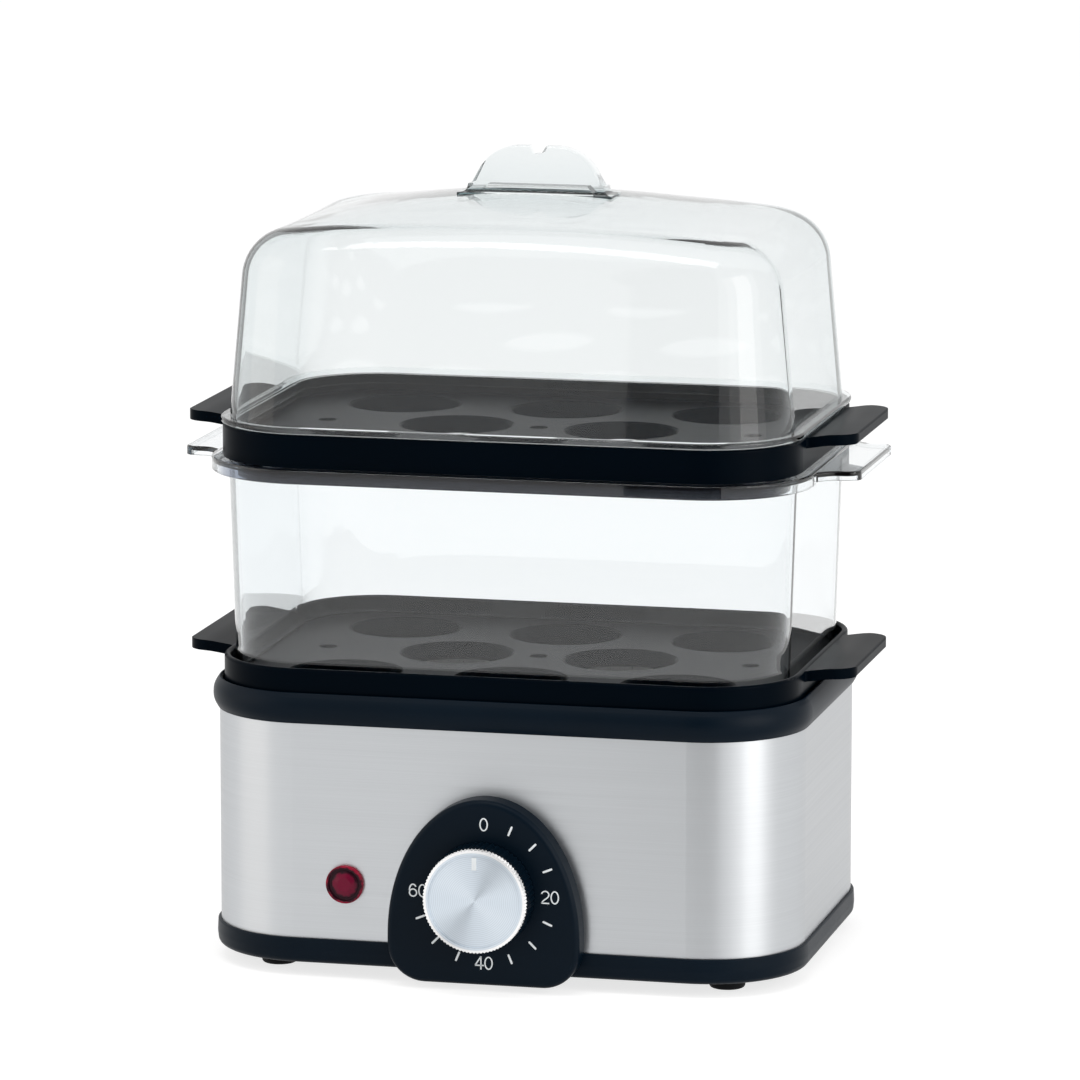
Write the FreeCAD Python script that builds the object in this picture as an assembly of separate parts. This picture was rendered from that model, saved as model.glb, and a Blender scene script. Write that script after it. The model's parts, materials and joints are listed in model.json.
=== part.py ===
import FreeCAD, Part
import math
import os

# Two-tier electric egg boiler, in millimetres. +Z is up, +X to the right, and the front
# faces -Y. The shapes are modelled about the middle of the body and moved by BODY_Y at
# export, so that the origin is on the table under the middle of the whole object.
#
# Every stacked piece (pan, shell, collar, trays, ring and lid) shares one plan: a core
# rectangle whose corners are the centres of the rounded corners. A plan radius below is
# the distance from that rectangle to a wall, so equal steps in radius give an even gap
# all the way round.

# --- plan and stack -----------------------------------------------------------------
BODY_WIDTH = 190.0
BODY_DEPTH = 135.5
BODY_CORNER = 31.6
CORE_X = BODY_WIDTH / 2 - BODY_CORNER
CORE_Y = BODY_DEPTH / 2 - BODY_CORNER
FIT = 0.1                   # moulded parts that meet
STACK_GAP = 0.2             # between pieces that only stand on each other
SLIP = 0.5                  # sideways play of pieces that lift off
OVERRUN = 1.0               # how far a cut runs past what it opens
EDGE_BREAK = 0.3            # smallest rounding of a moulded edge
HEAD_ROUND_SHARE = 0.6      # rounding of a screw's head, as a share of its height

# --- steel shell and bottom pan -----------------------------------------------------
SHELL_WALL = 0.8
PAN_BOTTOM = 4.3
PAN_FLOOR = 2.5
PAN_RIM_TOP = 12.5
PAN_BULGE = 1.2
PAN_LIP_WALL = 1.8
PAN_LIP_TOP = 14.0
PAN_LOWER_DRAFT = 0.4
PAN_LOWER_ROUND = 2.6
PAN_BELLY_ROUND = 6.0
PAN_UPPER_DRAFT = 0.2
PAN_UPPER_ROUND = 0.6
PAN_INNER_ROUND = 1.5
SHELL_BOTTOM = 8.5
FOOT_X = 73.0
FOOT_Y = 50.0
FOOT_RADIUS = 6.1
FOOT_SEAT = 0.8
FOOT_STEM = 2.0
FOOT_TAPER = 0.5
FOOT_ROUND = 1.0
FOOT_BARB = 1.2
FOOT_BARB_HEIGHT = 2.6
FOOT_BARB_TIP = 1.6         # radius of the stem's end
POST_Y = 25.0
POST_RADIUS = 3.4
POST_PLAN = 27.0            # plan radius of the screw posts
PAN_BOSS_TOP = 20.0
BASE_SCREW_RADIUS = 1.5
BASE_SCREW_HEAD = 2.7
BASE_SCREW_HEAD_HEIGHT = 1.7
BASE_SCREW_LENGTH = 26.0
PILOT_DEPTH = 14.0
VENT_COUNT = 6
VENT_PITCH = 9.0
VENT_LENGTH = 34.0
VENT_WIDTH = 3.0

# --- top collar and water dish ------------------------------------------------------
COLLAR_BOTTOM = 81.5
COLLAR_HEIGHT = 10.0
COLLAR_BULGE = 2.0
COLLAR_LAP = 0.5            # wall outside the shell at the collar's lower edge
COLLAR_ROUND = 6.5
COLLAR_LOWER_ROUND = 2.6
COLLAR_UPPER_ROUND = 3.2
CREST_WIDTH = 0.9
CREST_ROUND = 0.8
CREST_INNER_ROUND = 0.4
COLLAR_GROOVE = 4.5         # depth of the groove that takes the shell's upper edge
COLLAR_LIP_WALL = 1.6
LEDGE_Z = 88.0
LEDGE_WALL = 2.2
STEP_DROP = 1.9
SEAL_THICKNESS = 0.8
DISH_WALL = 0.8
DISH_RADIUS = 22.4          # inside, at the flange
DISH_TAPER = 1.6
DISH_DEPTH = 13.7
DISH_FLANGE = 3.6
DISH_ROUND = 3.0
DISH_WELL_RADIUS = 43.0
DISH_WELL_DEPTH = 0.9
SEAL_WIDTH = 2.2

# --- heater under the dish ----------------------------------------------------------
DISC_RADIUS = 42.0
DISC_THICKNESS = 3.0
ELEMENT_RING = 31.0
ELEMENT_RADIUS = 3.3
ELEMENT_SINK = 2.4          # how far the tube lies in the groove of the disc
ELEMENT_GAP_ANGLE = 56.0
ELEMENT_DROP = 9.0
PIN_RADIUS = 1.5
PIN_LENGTH = 6.0
THERMOSTAT_RADIUS = 8.0
THERMOSTAT_HEIGHT = 8.2
THERMOSTAT_CAP = 2.4
THERMOSTAT_CAP_RIM = 0.6
TERMINAL_WIDTH = 4.8
TERMINAL_THICKNESS = 0.8
TERMINAL_LENGTH = 9.0
TERMINAL_PITCH = 5.6
STRAP_WIDTH = 18.0
STRAP_THICKNESS = 1.5
STRAP_CORNER = 6.0
STRAP_HOLE = 5.4
FUSE_RADIUS = 2.1
FUSE_LENGTH = 12.0
FUSE_Y = 16.0
STRAP_SCREW_LENGTH = 10.0

# --- control panel, timer and knob --------------------------------------------------
DIAL_Z = 31.4
PANEL_HALF_WIDTH = 31.0
PANEL_TOP = 61.3
PANEL_BOTTOM = 2.1
PANEL_WIDEST_Z = 17.0
PANEL_CORNER = 12.0
PANEL_DEPTH = 8.05
PANEL_WALL = 2.2
PANEL_EDGE = 1.8
TIMER_PLATE_WIDTH = 52.0
TIMER_PLATE_THICKNESS = 1.0
TIMER_WIDTH = 42.0
TIMER_HEIGHT = 34.0
TIMER_DEPTH = 20.0
TIMER_CORNER = 3.0
TIMER_NOSE = 4.6
TIMER_NOSE_LENGTH = 7.6
BELL_RADIUS = 15.0
BELL_DEPTH = 9.0
BELL_WALL = 1.0
BELL_ROUND = 6.3
BELL_GAP = 2.5
BELL_STUD = 2.5
SHAFT_RADIUS = 3.0
SHAFT_FLAT = 1.0
SHAFT_PLAY = 0.05
TIMER_SCREW_X = 11.5
TIMER_SCREW_RADIUS = 1.5
TIMER_SCREW_HEAD = 2.6
TIMER_SCREW_HEAD_HEIGHT = 1.6
TIMER_SCREW_LENGTH = 13.0
PANEL_BOSS = 3.2
KNOB_GAP = 0.5
KNOB_RADIUS = 17.0
KNOB_DEPTH = 7.7
KNOB_WALL = 2.0
KNOB_FRONT = 2.0
KNOB_HUB = 5.5
KNOB_FLUTES = 60
KNOB_FLUTE_DEPTH = 0.45
CAP_RADIUS = 16.5
CAP_DEPTH = 2.3
CAP_FACE_RADIUS = 14.8
CAP_RECESS = 0.4
CAP_KNURLS = 90
CAP_KNURL_DEPTH = 0.3
POINTER_LENGTH = 4.0
POINTER_WIDTH = 1.5
POINTER_TOP = 14.0
POINTER_RAISE = 0.25

# --- indicator lamp -----------------------------------------------------------------
LAMP_X = -46.4
LAMP_Z = 30.6
LENS_RADIUS = 6.1
LENS_RIM = 0.9
LENS_GROOVE = 0.8
LENS_PROUD = 1.8
LENS_RIM_DROP = 0.2         # rim behind the middle of the dome
LENS_RIM_ROUND = 0.45
LENS_DOME_DROP = 0.9        # edge of the dome behind its middle
LENS_DOME_ROUND = 1.5
LENS_GROOVE_DROP = 1.2      # bottom of the groove behind the middle of the dome
LENS_STEM = 3.8
LENS_STEM_LENGTH = 6.0
LAMP_BODY_RADIUS = 4.6
LAMP_BODY_LENGTH = 22.0
CLIP_RADIUS = 7.6
CLIP_THICKNESS = 0.6

# --- mains entry --------------------------------------------------------------------
GLAND_X = 55.0
GLAND_Z = 24.0
GLAND_BORE = 3.5
GLAND_BARREL = 7.0
GLAND_FLANGE = 9.4
GLAND_FLANGE_THICKNESS = 2.0
GLAND_NOSE = 6.25           # how far it stands out of the shell
GLAND_INSIDE = 5.0
GLAND_ROUND = 0.6
GLAND_NOSE_TAPER = 1.2
BLOCK_X = 40.0
BLOCK_Y = 34.0
BLOCK_LENGTH = 28.0
BLOCK_WIDTH = 15.0
BLOCK_HEIGHT = 13.0
BLOCK_HOLES = 3
BLOCK_HOLE_RADIUS = 2.2

# --- trays --------------------------------------------------------------------------
TRAY_RADIUS = 30.0
TRAY_WALL = 2.0
TRAY_HEIGHT = 10.4
TRAY_RIM_ROUND = 0.9
TRAY_FLOOR_Z = 3.0
TRAY_FLOOR = 2.0
TRAY_FLOOR_ROUND = 1.0
LOWER_SKIRT_DROP = 2.7      # of the locating skirt, below the foot of the tray's band
UPPER_SKIRT_DROP = 5.8
TRAY_SKIRT_WALL = 1.4
TRAY_SKIRT_LEAD = 0.3       # narrowing of the skirt towards its lower edge
SEAT_RADIUS = 18.0
SEAT_COLLAR_WALL = 1.5
SEAT_COLLAR_DROP = 3.5
SEAT_CHAMFER = 1.2
SEAT_END_SPACE = 19.4       # from the tray's end walls to the nearest seats
SEAT_SIDE_SPACE = 8.15      # from its front and back walls
STEAM_HOLE = 3.0
STEAM_HOLE_STEP = 16.0      # from the outer seats' line towards the ends
HANDLE_LENGTH = 15.4        # from the tray's wall to the tip
HANDLE_HALF = 31.0
HANDLE_FLARE = 1.5
HANDLE_CORNER = 8.5
HANDLE_THICKNESS = 3.4
HANDLE_ROOT_DROP = 0.6      # top of the handle below the rim, at the wall
HANDLE_RISE = 1.5           # how much the handle rises towards its tip
HANDLE_BEND = 9.0           # from the wall to where the handle runs level
HANDLE_BEND_ROUND = 30.0
HANDLE_EDGE = 0.6

# --- clear steam ring ---------------------------------------------------------------
RING_FOOT_RADIUS = 26.1
RING_TOP_RADIUS = 28.2
RING_WALL = 1.8
RING_HEIGHT = 68.9
RING_EDGE = 0.6
FLANGE_RADIUS = 33.6
FLANGE_THICKNESS = 1.7
FLANGE_DROP = 4.4
FLANGE_WALL = 1.7
RING_HANDLE_LENGTH = 12.8   # from the flange to the tip
RING_HANDLE_HALF = 28.7
RING_HANDLE_FLARE = 6.0
RING_HANDLE_CORNER = 6.0
RING_HANDLE_DROP = 0.4      # its top below the top of the ring
RING_HANDLE_SKIRT = 2.9
RING_HANDLE_WALL = 1.8

# --- lid ----------------------------------------------------------------------------
LID_RADIUS = 30.6
LID_FLANGE = 2.0
LID_FLANGE_ROUND = 0.8
LID_FOOT_RADIUS = 27.9
LID_WALL = 2.0
LID_TAPER = 6.5             # narrowing of the wall over the lid's height
LID_TOP = 243.6
LID_SHOULDER = 16.4
CROWN_RISE = 8.5            # from the crown's level line up to its middle
CROWN_X_SPAN = 70.0         # from the middle to the level line
CROWN_Y_SPAN = 60.5
CROWN_STEPS = 6             # points of the crown's net, from the middle to each side
LID_SKIRT_WALL = 1.6
LID_SKIRT_DROP = 3.0
FIN_HEIGHT = 14.5           # above the crown
FIN_WIDTH = 45.2            # at the crown
FIN_END_SLOPE = 62.0        # of the two ends, in degrees
FIN_SHOULDER = 16.0
FIN_BASE_THICKNESS = 8.4
FIN_TIP_THICKNESS = 4.2
FIN_EDGE = 0.9
FIN_ROOT = 1.2              # how deep the grip runs into the crown
FIN_FOOT_SPREAD = 2.6       # how far the foot flares out on each side
FIN_FOOT_HEIGHT = 2.6
FIN_FOOT_SINK = 0.35        # where the flare starts, below the top of the crown
FIN_FOOT_ROUND = 6.0
FIN_NOTCH_WIDTH = 5.6
FIN_NOTCH_FLOOR = 2.6
FIN_NOTCH_DEPTH = 2.6
FIN_NOTCH_ROUND = 1.1
FIN_POCKET_WIDTH = 36.6
FIN_POCKET_THICKNESS = 5.0
FIN_POCKET_HEIGHT = 2.0
FIN_POCKET_SLANT = 2.0      # how far each end leans in over the height

# --- sizes that follow --------------------------------------------------------------
SHELL_RADIUS = BODY_CORNER
SHELL_INSIDE = SHELL_RADIUS - SHELL_WALL
SHELL_TOP = COLLAR_BOTTOM + COLLAR_GROOVE
FRONT_Y = -BODY_DEPTH / 2
REAR_Y = BODY_DEPTH / 2
PANEL_FACE_Y = FRONT_Y - PANEL_DEPTH
SHELL_INNER_FRONT_Y = FRONT_Y + SHELL_WALL
PAN_FLOOR_TOP = PAN_BOTTOM + PAN_FLOOR
COLLAR_TOP = COLLAR_BOTTOM + COLLAR_HEIGHT
COLLAR_UNDERSIDE = LEDGE_Z - STEP_DROP - LEDGE_WALL
STEP_Z = LEDGE_Z - STEP_DROP
DISH_TOP = STEP_Z + SEAL_THICKNESS + DISH_WALL
DISH_FLOOR = DISH_TOP - DISH_DEPTH
DISH_UNDERSIDE = DISH_FLOOR - DISH_WALL
DISC_TOP = DISH_UNDERSIDE - DISH_WELL_DEPTH
DISC_BOTTOM = DISC_TOP - DISC_THICKNESS
ELEMENT_Z = DISC_BOTTOM + ELEMENT_SINK - ELEMENT_RADIUS
STRAP_TOP = DISC_BOTTOM - THERMOSTAT_HEIGHT
STRAP_BOTTOM = STRAP_TOP - STRAP_THICKNESS
STRAP_POST_Y = CORE_Y + POST_PLAN
POST_X = CORE_X + POST_PLAN
KNOB_BACK_Y = PANEL_FACE_Y - KNOB_GAP
CAP_BACK_Y = KNOB_BACK_Y - KNOB_DEPTH
CAP_FACE_Y = CAP_BACK_Y - CAP_DEPTH + CAP_RECESS
KNOB_FRONT_Y = CAP_BACK_Y - CAP_DEPTH
GLAND_REAR_Y = REAR_Y + GLAND_NOSE
BODY_Y = -(KNOB_FRONT_Y + GLAND_REAR_Y) / 2
LOWER_TRAY_Z = LEDGE_Z + STACK_GAP
RING_Z = LOWER_TRAY_Z + TRAY_FLOOR_Z + TRAY_FLOOR + STACK_GAP
RING_TOP_Z = RING_Z + RING_HEIGHT
UPPER_TRAY_Z = RING_TOP_Z + STACK_GAP
LID_Z = UPPER_TRAY_Z + TRAY_HEIGHT + STACK_GAP
TRAY_INSIDE = TRAY_RADIUS - TRAY_WALL
SEAT_X = CORE_X + TRAY_INSIDE - SEAT_END_SPACE - SEAT_RADIUS
SEAT_Y = CORE_Y + TRAY_INSIDE - SEAT_SIDE_SPACE - SEAT_RADIUS
HANDLE_REACH = CORE_X + TRAY_RADIUS + HANDLE_LENGTH
RING_HANDLE_REACH = CORE_X + FLANGE_RADIUS + RING_HANDLE_LENGTH
LOWER_SKIRT_RADIUS = DISH_RADIUS - SLIP - STACK_GAP
UPPER_SKIRT_RADIUS = RING_TOP_RADIUS - RING_WALL - SLIP - STACK_GAP

UP = FreeCAD.Vector(0, 0, 1)
BACK = FreeCAD.Vector(0, 1, 0)
ORIGIN = FreeCAD.Vector(0, 0, 0)
TINY = 1e-6
CORNER_SHARE = 0.49         # most of an edge that the rounding at one of its ends may take


def vec(x, y, z):
    """Point or direction."""
    return FreeCAD.Vector(x, y, z)


def fuse(*shapes):
    """Join shapes into one, without the seams between them."""
    return shapes[0].multiFuse(list(shapes[1:])).removeSplitter()


def profile(points):
    """Face in the XZ plane through (x, z) or (x, z, corner radius) points.

    A corner radius is limited by the shorter edge beside it.
    """
    corners = []
    count = len(points)
    for index, point in enumerate(points):
        here = vec(point[0], 0, point[1])
        radius = point[2] if len(point) > 2 else 0
        if radius <= 0:
            corners.append((here, here, here))
            continue
        before = points[index - 1]
        after = points[(index + 1) % count]
        to_before = (vec(before[0], 0, before[1]) - here).normalize()
        to_after = (vec(after[0], 0, after[1]) - here).normalize()
        half_angle = to_before.getAngle(to_after) / 2
        room = CORNER_SHARE * min((vec(near[0], 0, near[1]) - here).Length for near in (before, after))
        reach = min(radius / math.tan(half_angle), room)
        radius = reach * math.tan(half_angle)
        inward = (to_before + to_after).normalize()
        middle = here + inward * (radius / math.sin(half_angle) - radius)
        corners.append((here + to_before * reach, middle, here + to_after * reach))
    edges = []
    for index, (start, middle, end) in enumerate(corners):
        if (end - start).Length > TINY:
            edges.append(Part.Arc(start, middle, end).toShape())
        following = corners[(index + 1) % count][0]
        if (following - end).Length > TINY:
            edges.append(Part.LineSegment(end, following).toShape())
    return Part.Face(Part.Wire(edges))


def around(section):
    """Sweep a section round the shared plan: four corners and the sides between them.

    The section's x is the plan radius.
    """
    pieces = []
    corners = ((1, 1), (-1, 1), (-1, -1), (1, -1))
    for turn, (side_x, side_y) in enumerate(corners):
        place = vec(side_x * CORE_X, side_y * CORE_Y, 0)
        corner = section.revolve(ORIGIN, UP, 90)
        corner.rotate(ORIGIN, UP, 90 * turn)
        corner.translate(place)
        length = 2 * (CORE_X if turn % 2 == 0 else CORE_Y)
        side = section.extrude(vec(0, length, 0))
        side.rotate(ORIGIN, UP, 90 * (turn + 1))
        side.translate(place)
        pieces += [corner, side]
    return fuse(*pieces)


def band(points):
    """Hollow piece whose wall section, in plan radius and height, is the points."""
    return around(profile(points))


def solid_band(points, bottom, top):
    """Filled piece: the section runs in to plan radius 0 and the core is filled."""
    core = Part.makeBox(2 * CORE_X, 2 * CORE_Y, top - bottom, vec(-CORE_X, -CORE_Y, bottom))
    return fuse(band(points), core)


def plan_block(radius, bottom, top):
    """Straight-sided block with the plan outline at the radius."""
    return solid_band([(0, bottom), (radius, bottom), (radius, top), (0, top)], bottom, top)


def rod(radius, bottom, length, x=0.0, y=0.0):
    """Upright cylinder."""
    return Part.makeCylinder(radius, length, vec(x, y, bottom), UP)


def rod_y(radius, y_from, y_to, x=0.0, z=0.0):
    """Cylinder along Y."""
    return Part.makeCylinder(radius, y_to - y_from, vec(x, y_from, z), BACK)


def turned(points, x=0.0, y=0.0):
    """Solid of revolution about an upright axis, from (radius, z) points."""
    shape = profile(points).revolve(ORIGIN, UP, 360)
    shape.translate(vec(x, y, 0))
    return shape


def turned_y(points, x=0.0, z=0.0):
    """Solid of revolution about an axis along Y, from (radius, y) points."""
    shape = profile(points).revolve(ORIGIN, UP, 360)
    shape.rotate(ORIGIN, vec(1, 0, 0), -90)
    shape.translate(vec(x, 0, z))
    return shape


def four(x, y):
    """The four places mirrored about the middle."""
    return [(side_x * x, side_y * y) for side_x in (-1, 1) for side_y in (-1, 1)]


def edges_along(shape, direction):
    """Straight edges of a shape that run along the direction."""
    return [edge for edge in shape.Edges
            if edge.tangentAt(edge.FirstParameter).cross(direction).Length < TINY]


def top_rim(shape):
    """Edges round the highest level of a shape."""
    highest = shape.BoundBox.ZMax
    return [edge for edge in shape.Edges
            if all(abs(vertex.Point.z - highest) < TINY for vertex in edge.Vertexes)]


def scalloped_disc(radius, depth, count, y_from, y_to):
    """Disc along Y whose edge has V grooves all round."""
    corners = []
    for step in range(2 * count):
        angle = math.pi * step / count
        reach = radius if step % 2 == 0 else radius - depth
        corners.append(vec(reach * math.sin(angle), y_from, DIAL_Z + reach * math.cos(angle)))
    outline = Part.makePolygon(corners + corners[:1])
    return Part.Face(outline).extrude(vec(0, y_to - y_from, 0))


# --- base ---------------------------------------------------------------------------
def post_places():
    """Where the collar is screwed to the pan."""
    return four(POST_X, POST_Y)


def bottom_pan():
    """Moulded pan: bulging rim with a groove for the shell, bosses, foot seats and vents."""
    outer = SHELL_RADIUS + PAN_BULGE
    inner_lip = SHELL_INSIDE - FIT
    rim = [
        (0, PAN_BOTTOM),
        (outer - PAN_LOWER_DRAFT, PAN_BOTTOM, PAN_LOWER_ROUND),
        (outer, (PAN_BOTTOM + PAN_RIM_TOP) / 2, PAN_BELLY_ROUND),
        (outer - PAN_UPPER_DRAFT, PAN_RIM_TOP, PAN_UPPER_ROUND),
        (SHELL_RADIUS + FIT, PAN_RIM_TOP),
        (SHELL_RADIUS + FIT, SHELL_BOTTOM),
        (inner_lip, SHELL_BOTTOM),
        (inner_lip, PAN_LIP_TOP),
        (inner_lip - PAN_LIP_WALL, PAN_LIP_TOP),
        (inner_lip - PAN_LIP_WALL, PAN_FLOOR_TOP, PAN_INNER_ROUND),
        (0, PAN_FLOOR_TOP),
    ]
    pan = solid_band(rim, PAN_BOTTOM, PAN_FLOOR_TOP)
    bosses = [rod(POST_RADIUS, PAN_BOTTOM, PAN_BOSS_TOP - PAN_BOTTOM, *place)
              for place in post_places()]
    pan = fuse(pan, *bosses)
    cuts = []
    for place in post_places():
        cuts.append(rod(BASE_SCREW_RADIUS + FIT, 0, PAN_BOSS_TOP + OVERRUN, *place))
        cuts.append(rod(BASE_SCREW_HEAD + FIT, 0, PAN_BOTTOM + BASE_SCREW_HEAD_HEIGHT + FIT, *place))
    for place in four(FOOT_X, FOOT_Y):
        cuts.append(rod(FOOT_RADIUS + FIT, 0, PAN_BOTTOM + FOOT_SEAT, *place))
        cuts.append(rod(FOOT_STEM + FIT, 0, PAN_FLOOR_TOP + OVERRUN, *place))
    for index in range(VENT_COUNT):
        x = (index - (VENT_COUNT - 1) / 2) * VENT_PITCH
        cuts.append(Part.makeBox(VENT_WIDTH, VENT_LENGTH, PAN_FLOOR + 2 * OVERRUN,
                                 vec(x - VENT_WIDTH / 2, -VENT_LENGTH / 2, PAN_BOTTOM - OVERRUN)))
    return pan.cut(cuts)


def steel_shell():
    """Wrapped sheet with holes for the timer, its screws, the lamp and the mains entry."""
    wall = [
        (SHELL_INSIDE, SHELL_BOTTOM),
        (SHELL_RADIUS, SHELL_BOTTOM),
        (SHELL_RADIUS, SHELL_TOP),
        (SHELL_INSIDE, SHELL_TOP),
    ]
    front = (FRONT_Y - OVERRUN, SHELL_INNER_FRONT_Y + OVERRUN)
    rear = (REAR_Y - SHELL_WALL - OVERRUN, REAR_Y + OVERRUN)
    holes = [
        rod_y(TIMER_NOSE + FIT, *front, 0, DIAL_Z),
        rod_y(LAMP_BODY_RADIUS + FIT, *front, LAMP_X, LAMP_Z),
        rod_y(GLAND_BARREL + FIT, *rear, GLAND_X, GLAND_Z),
    ]
    for side in (-1, 1):
        holes.append(rod_y(TIMER_SCREW_RADIUS + FIT, *front, side * TIMER_SCREW_X, DIAL_Z))
    return band(wall).cut(holes)


def top_collar():
    """Half-round collar: shell groove, tray ledge, dish step and the long screw posts."""
    outer = SHELL_RADIUS + COLLAR_BULGE
    crest_inside = TRAY_RADIUS + SLIP
    lip_outside = SHELL_INSIDE - FIT
    lip_inside = lip_outside - COLLAR_LIP_WALL
    flange_room = DISH_RADIUS + DISH_FLANGE + FIT
    section = [
        (SHELL_RADIUS + COLLAR_LAP, COLLAR_BOTTOM, EDGE_BREAK),
        (outer, COLLAR_BOTTOM + COLLAR_LOWER_ROUND, COLLAR_ROUND),
        (outer, COLLAR_TOP - COLLAR_UPPER_ROUND, COLLAR_ROUND),
        (crest_inside + CREST_WIDTH, COLLAR_TOP, CREST_ROUND),
        (crest_inside, COLLAR_TOP - CREST_WIDTH, CREST_INNER_ROUND),
        (crest_inside, LEDGE_Z, EDGE_BREAK),
        (flange_room, LEDGE_Z),
        (flange_room, STEP_Z),
        (DISH_RADIUS + DISH_WALL + FIT, STEP_Z),
        (DISH_RADIUS + DISH_WALL + FIT, COLLAR_UNDERSIDE),
        (lip_inside, COLLAR_UNDERSIDE),
        (lip_inside, COLLAR_BOTTOM),
        (lip_outside, COLLAR_BOTTOM),
        (lip_outside, SHELL_TOP),
        (SHELL_RADIUS + FIT, SHELL_TOP),
        (SHELL_RADIUS + FIT, COLLAR_BOTTOM),
    ]
    post_top = COLLAR_UNDERSIDE + LEDGE_WALL / 2
    long_posts = [rod(POST_RADIUS, PAN_BOSS_TOP, post_top - PAN_BOSS_TOP, *place)
                  for place in post_places()]
    strap_posts = [rod(POST_RADIUS, STRAP_TOP, post_top - STRAP_TOP, 0, side * STRAP_POST_Y)
                   for side in (-1, 1)]
    collar = fuse(band(section), *long_posts, *strap_posts)
    pilots = [rod(BASE_SCREW_RADIUS + FIT, PAN_BOSS_TOP - OVERRUN, PILOT_DEPTH + OVERRUN, *place)
              for place in post_places()]
    pilots += [rod(BASE_SCREW_RADIUS + FIT, STRAP_TOP - OVERRUN, PILOT_DEPTH, 0, side * STRAP_POST_Y)
               for side in (-1, 1)]
    return collar.cut(pilots)


def rubber_feet():
    """Four push-in feet with a barbed stem."""
    foot = [
        (0, 0),
        (FOOT_RADIUS - FOOT_TAPER, 0, FOOT_ROUND),
        (FOOT_RADIUS, PAN_BOTTOM + FOOT_SEAT),
        (FOOT_STEM, PAN_BOTTOM + FOOT_SEAT),
        (FOOT_STEM, PAN_FLOOR_TOP + FIT),
        (FOOT_STEM + FOOT_BARB, PAN_FLOOR_TOP + FIT),
        (FOOT_BARB_TIP, PAN_FLOOR_TOP + FOOT_BARB_HEIGHT),
        (0, PAN_FLOOR_TOP + FOOT_BARB_HEIGHT),
    ]
    return Part.makeCompound([turned(foot, *place) for place in four(FOOT_X, FOOT_Y)])


def pan_head_screw(shank, head, head_height, length):
    """Pan-head screw pointing up, with the head's bearing face at z 0."""
    return turned([
        (0, -head_height),
        (head, -head_height, head_height * HEAD_ROUND_SHARE),
        (head, 0),
        (shank, 0),
        (shank, length),
        (0, length),
    ])


def base_screws():
    """Four long screws that clamp pan, shell and collar together."""
    screws = []
    for x, y in post_places():
        screw = pan_head_screw(BASE_SCREW_RADIUS, BASE_SCREW_HEAD, BASE_SCREW_HEAD_HEIGHT,
                               BASE_SCREW_LENGTH)
        screw.translate(vec(x, y, PAN_BOTTOM + BASE_SCREW_HEAD_HEIGHT + FIT))
        screws.append(screw)
    return Part.makeCompound(screws)


def heating_plate():
    """Pressed steel water dish with a flange and a raised round heating area."""
    foot = DISH_RADIUS - DISH_TAPER
    outside = solid_band([
        (0, DISH_UNDERSIDE),
        (foot + DISH_WALL, DISH_UNDERSIDE, DISH_ROUND + DISH_WALL),
        (DISH_RADIUS + DISH_WALL, DISH_TOP - DISH_WALL),
        (DISH_RADIUS + DISH_FLANGE, DISH_TOP - DISH_WALL),
        (DISH_RADIUS + DISH_FLANGE, DISH_TOP),
        (0, DISH_TOP),
    ], DISH_UNDERSIDE, DISH_TOP)
    inside = solid_band([
        (0, DISH_FLOOR),
        (foot, DISH_FLOOR, DISH_ROUND),
        (DISH_RADIUS, DISH_TOP + OVERRUN),
        (0, DISH_TOP + OVERRUN),
    ], DISH_FLOOR, DISH_TOP + OVERRUN)
    dish = outside.cut(inside)
    well = rod(DISH_WELL_RADIUS, DISH_UNDERSIDE - DISH_WELL_DEPTH, DISH_WALL + DISH_WELL_DEPTH)
    hollow = rod(DISH_WELL_RADIUS - DISH_WALL, DISH_FLOOR - DISH_WELL_DEPTH, DISH_WELL_DEPTH + OVERRUN)
    return fuse(dish, well).cut(hollow)


def plate_seal():
    """Flat silicone gasket between the dish flange and the collar."""
    outer = DISH_RADIUS + DISH_FLANGE
    return band([
        (outer - SEAL_WIDTH, STEP_Z),
        (outer, STEP_Z),
        (outer, STEP_Z + SEAL_THICKNESS),
        (outer - SEAL_WIDTH, STEP_Z + SEAL_THICKNESS),
    ])


def element_ring():
    """Open ring of the tubular heater with its two ends turned down."""
    ring = Part.makeTorus(ELEMENT_RING, ELEMENT_RADIUS, vec(0, 0, ELEMENT_Z), UP, -180, 180,
                          360 - ELEMENT_GAP_ANGLE)
    ring.rotate(ORIGIN, UP, ELEMENT_GAP_ANGLE / 2)
    pieces = [ring]
    for side in (-1, 1):
        angle = math.radians(side * ELEMENT_GAP_ANGLE / 2)
        end = vec(ELEMENT_RING * math.cos(angle), ELEMENT_RING * math.sin(angle), ELEMENT_Z)
        pieces.append(Part.makeSphere(ELEMENT_RADIUS, end))
        pieces.append(rod(ELEMENT_RADIUS, ELEMENT_Z - ELEMENT_DROP, ELEMENT_DROP, end.x, end.y))
        pieces.append(rod(PIN_RADIUS, ELEMENT_Z - ELEMENT_DROP - PIN_LENGTH, PIN_LENGTH, end.x, end.y))
    return fuse(*pieces)


def element_disc(element):
    """Cast disc that spreads the heat, with a groove for the tube."""
    return rod(DISC_RADIUS, DISC_BOTTOM, DISC_THICKNESS).cut(element)


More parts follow.
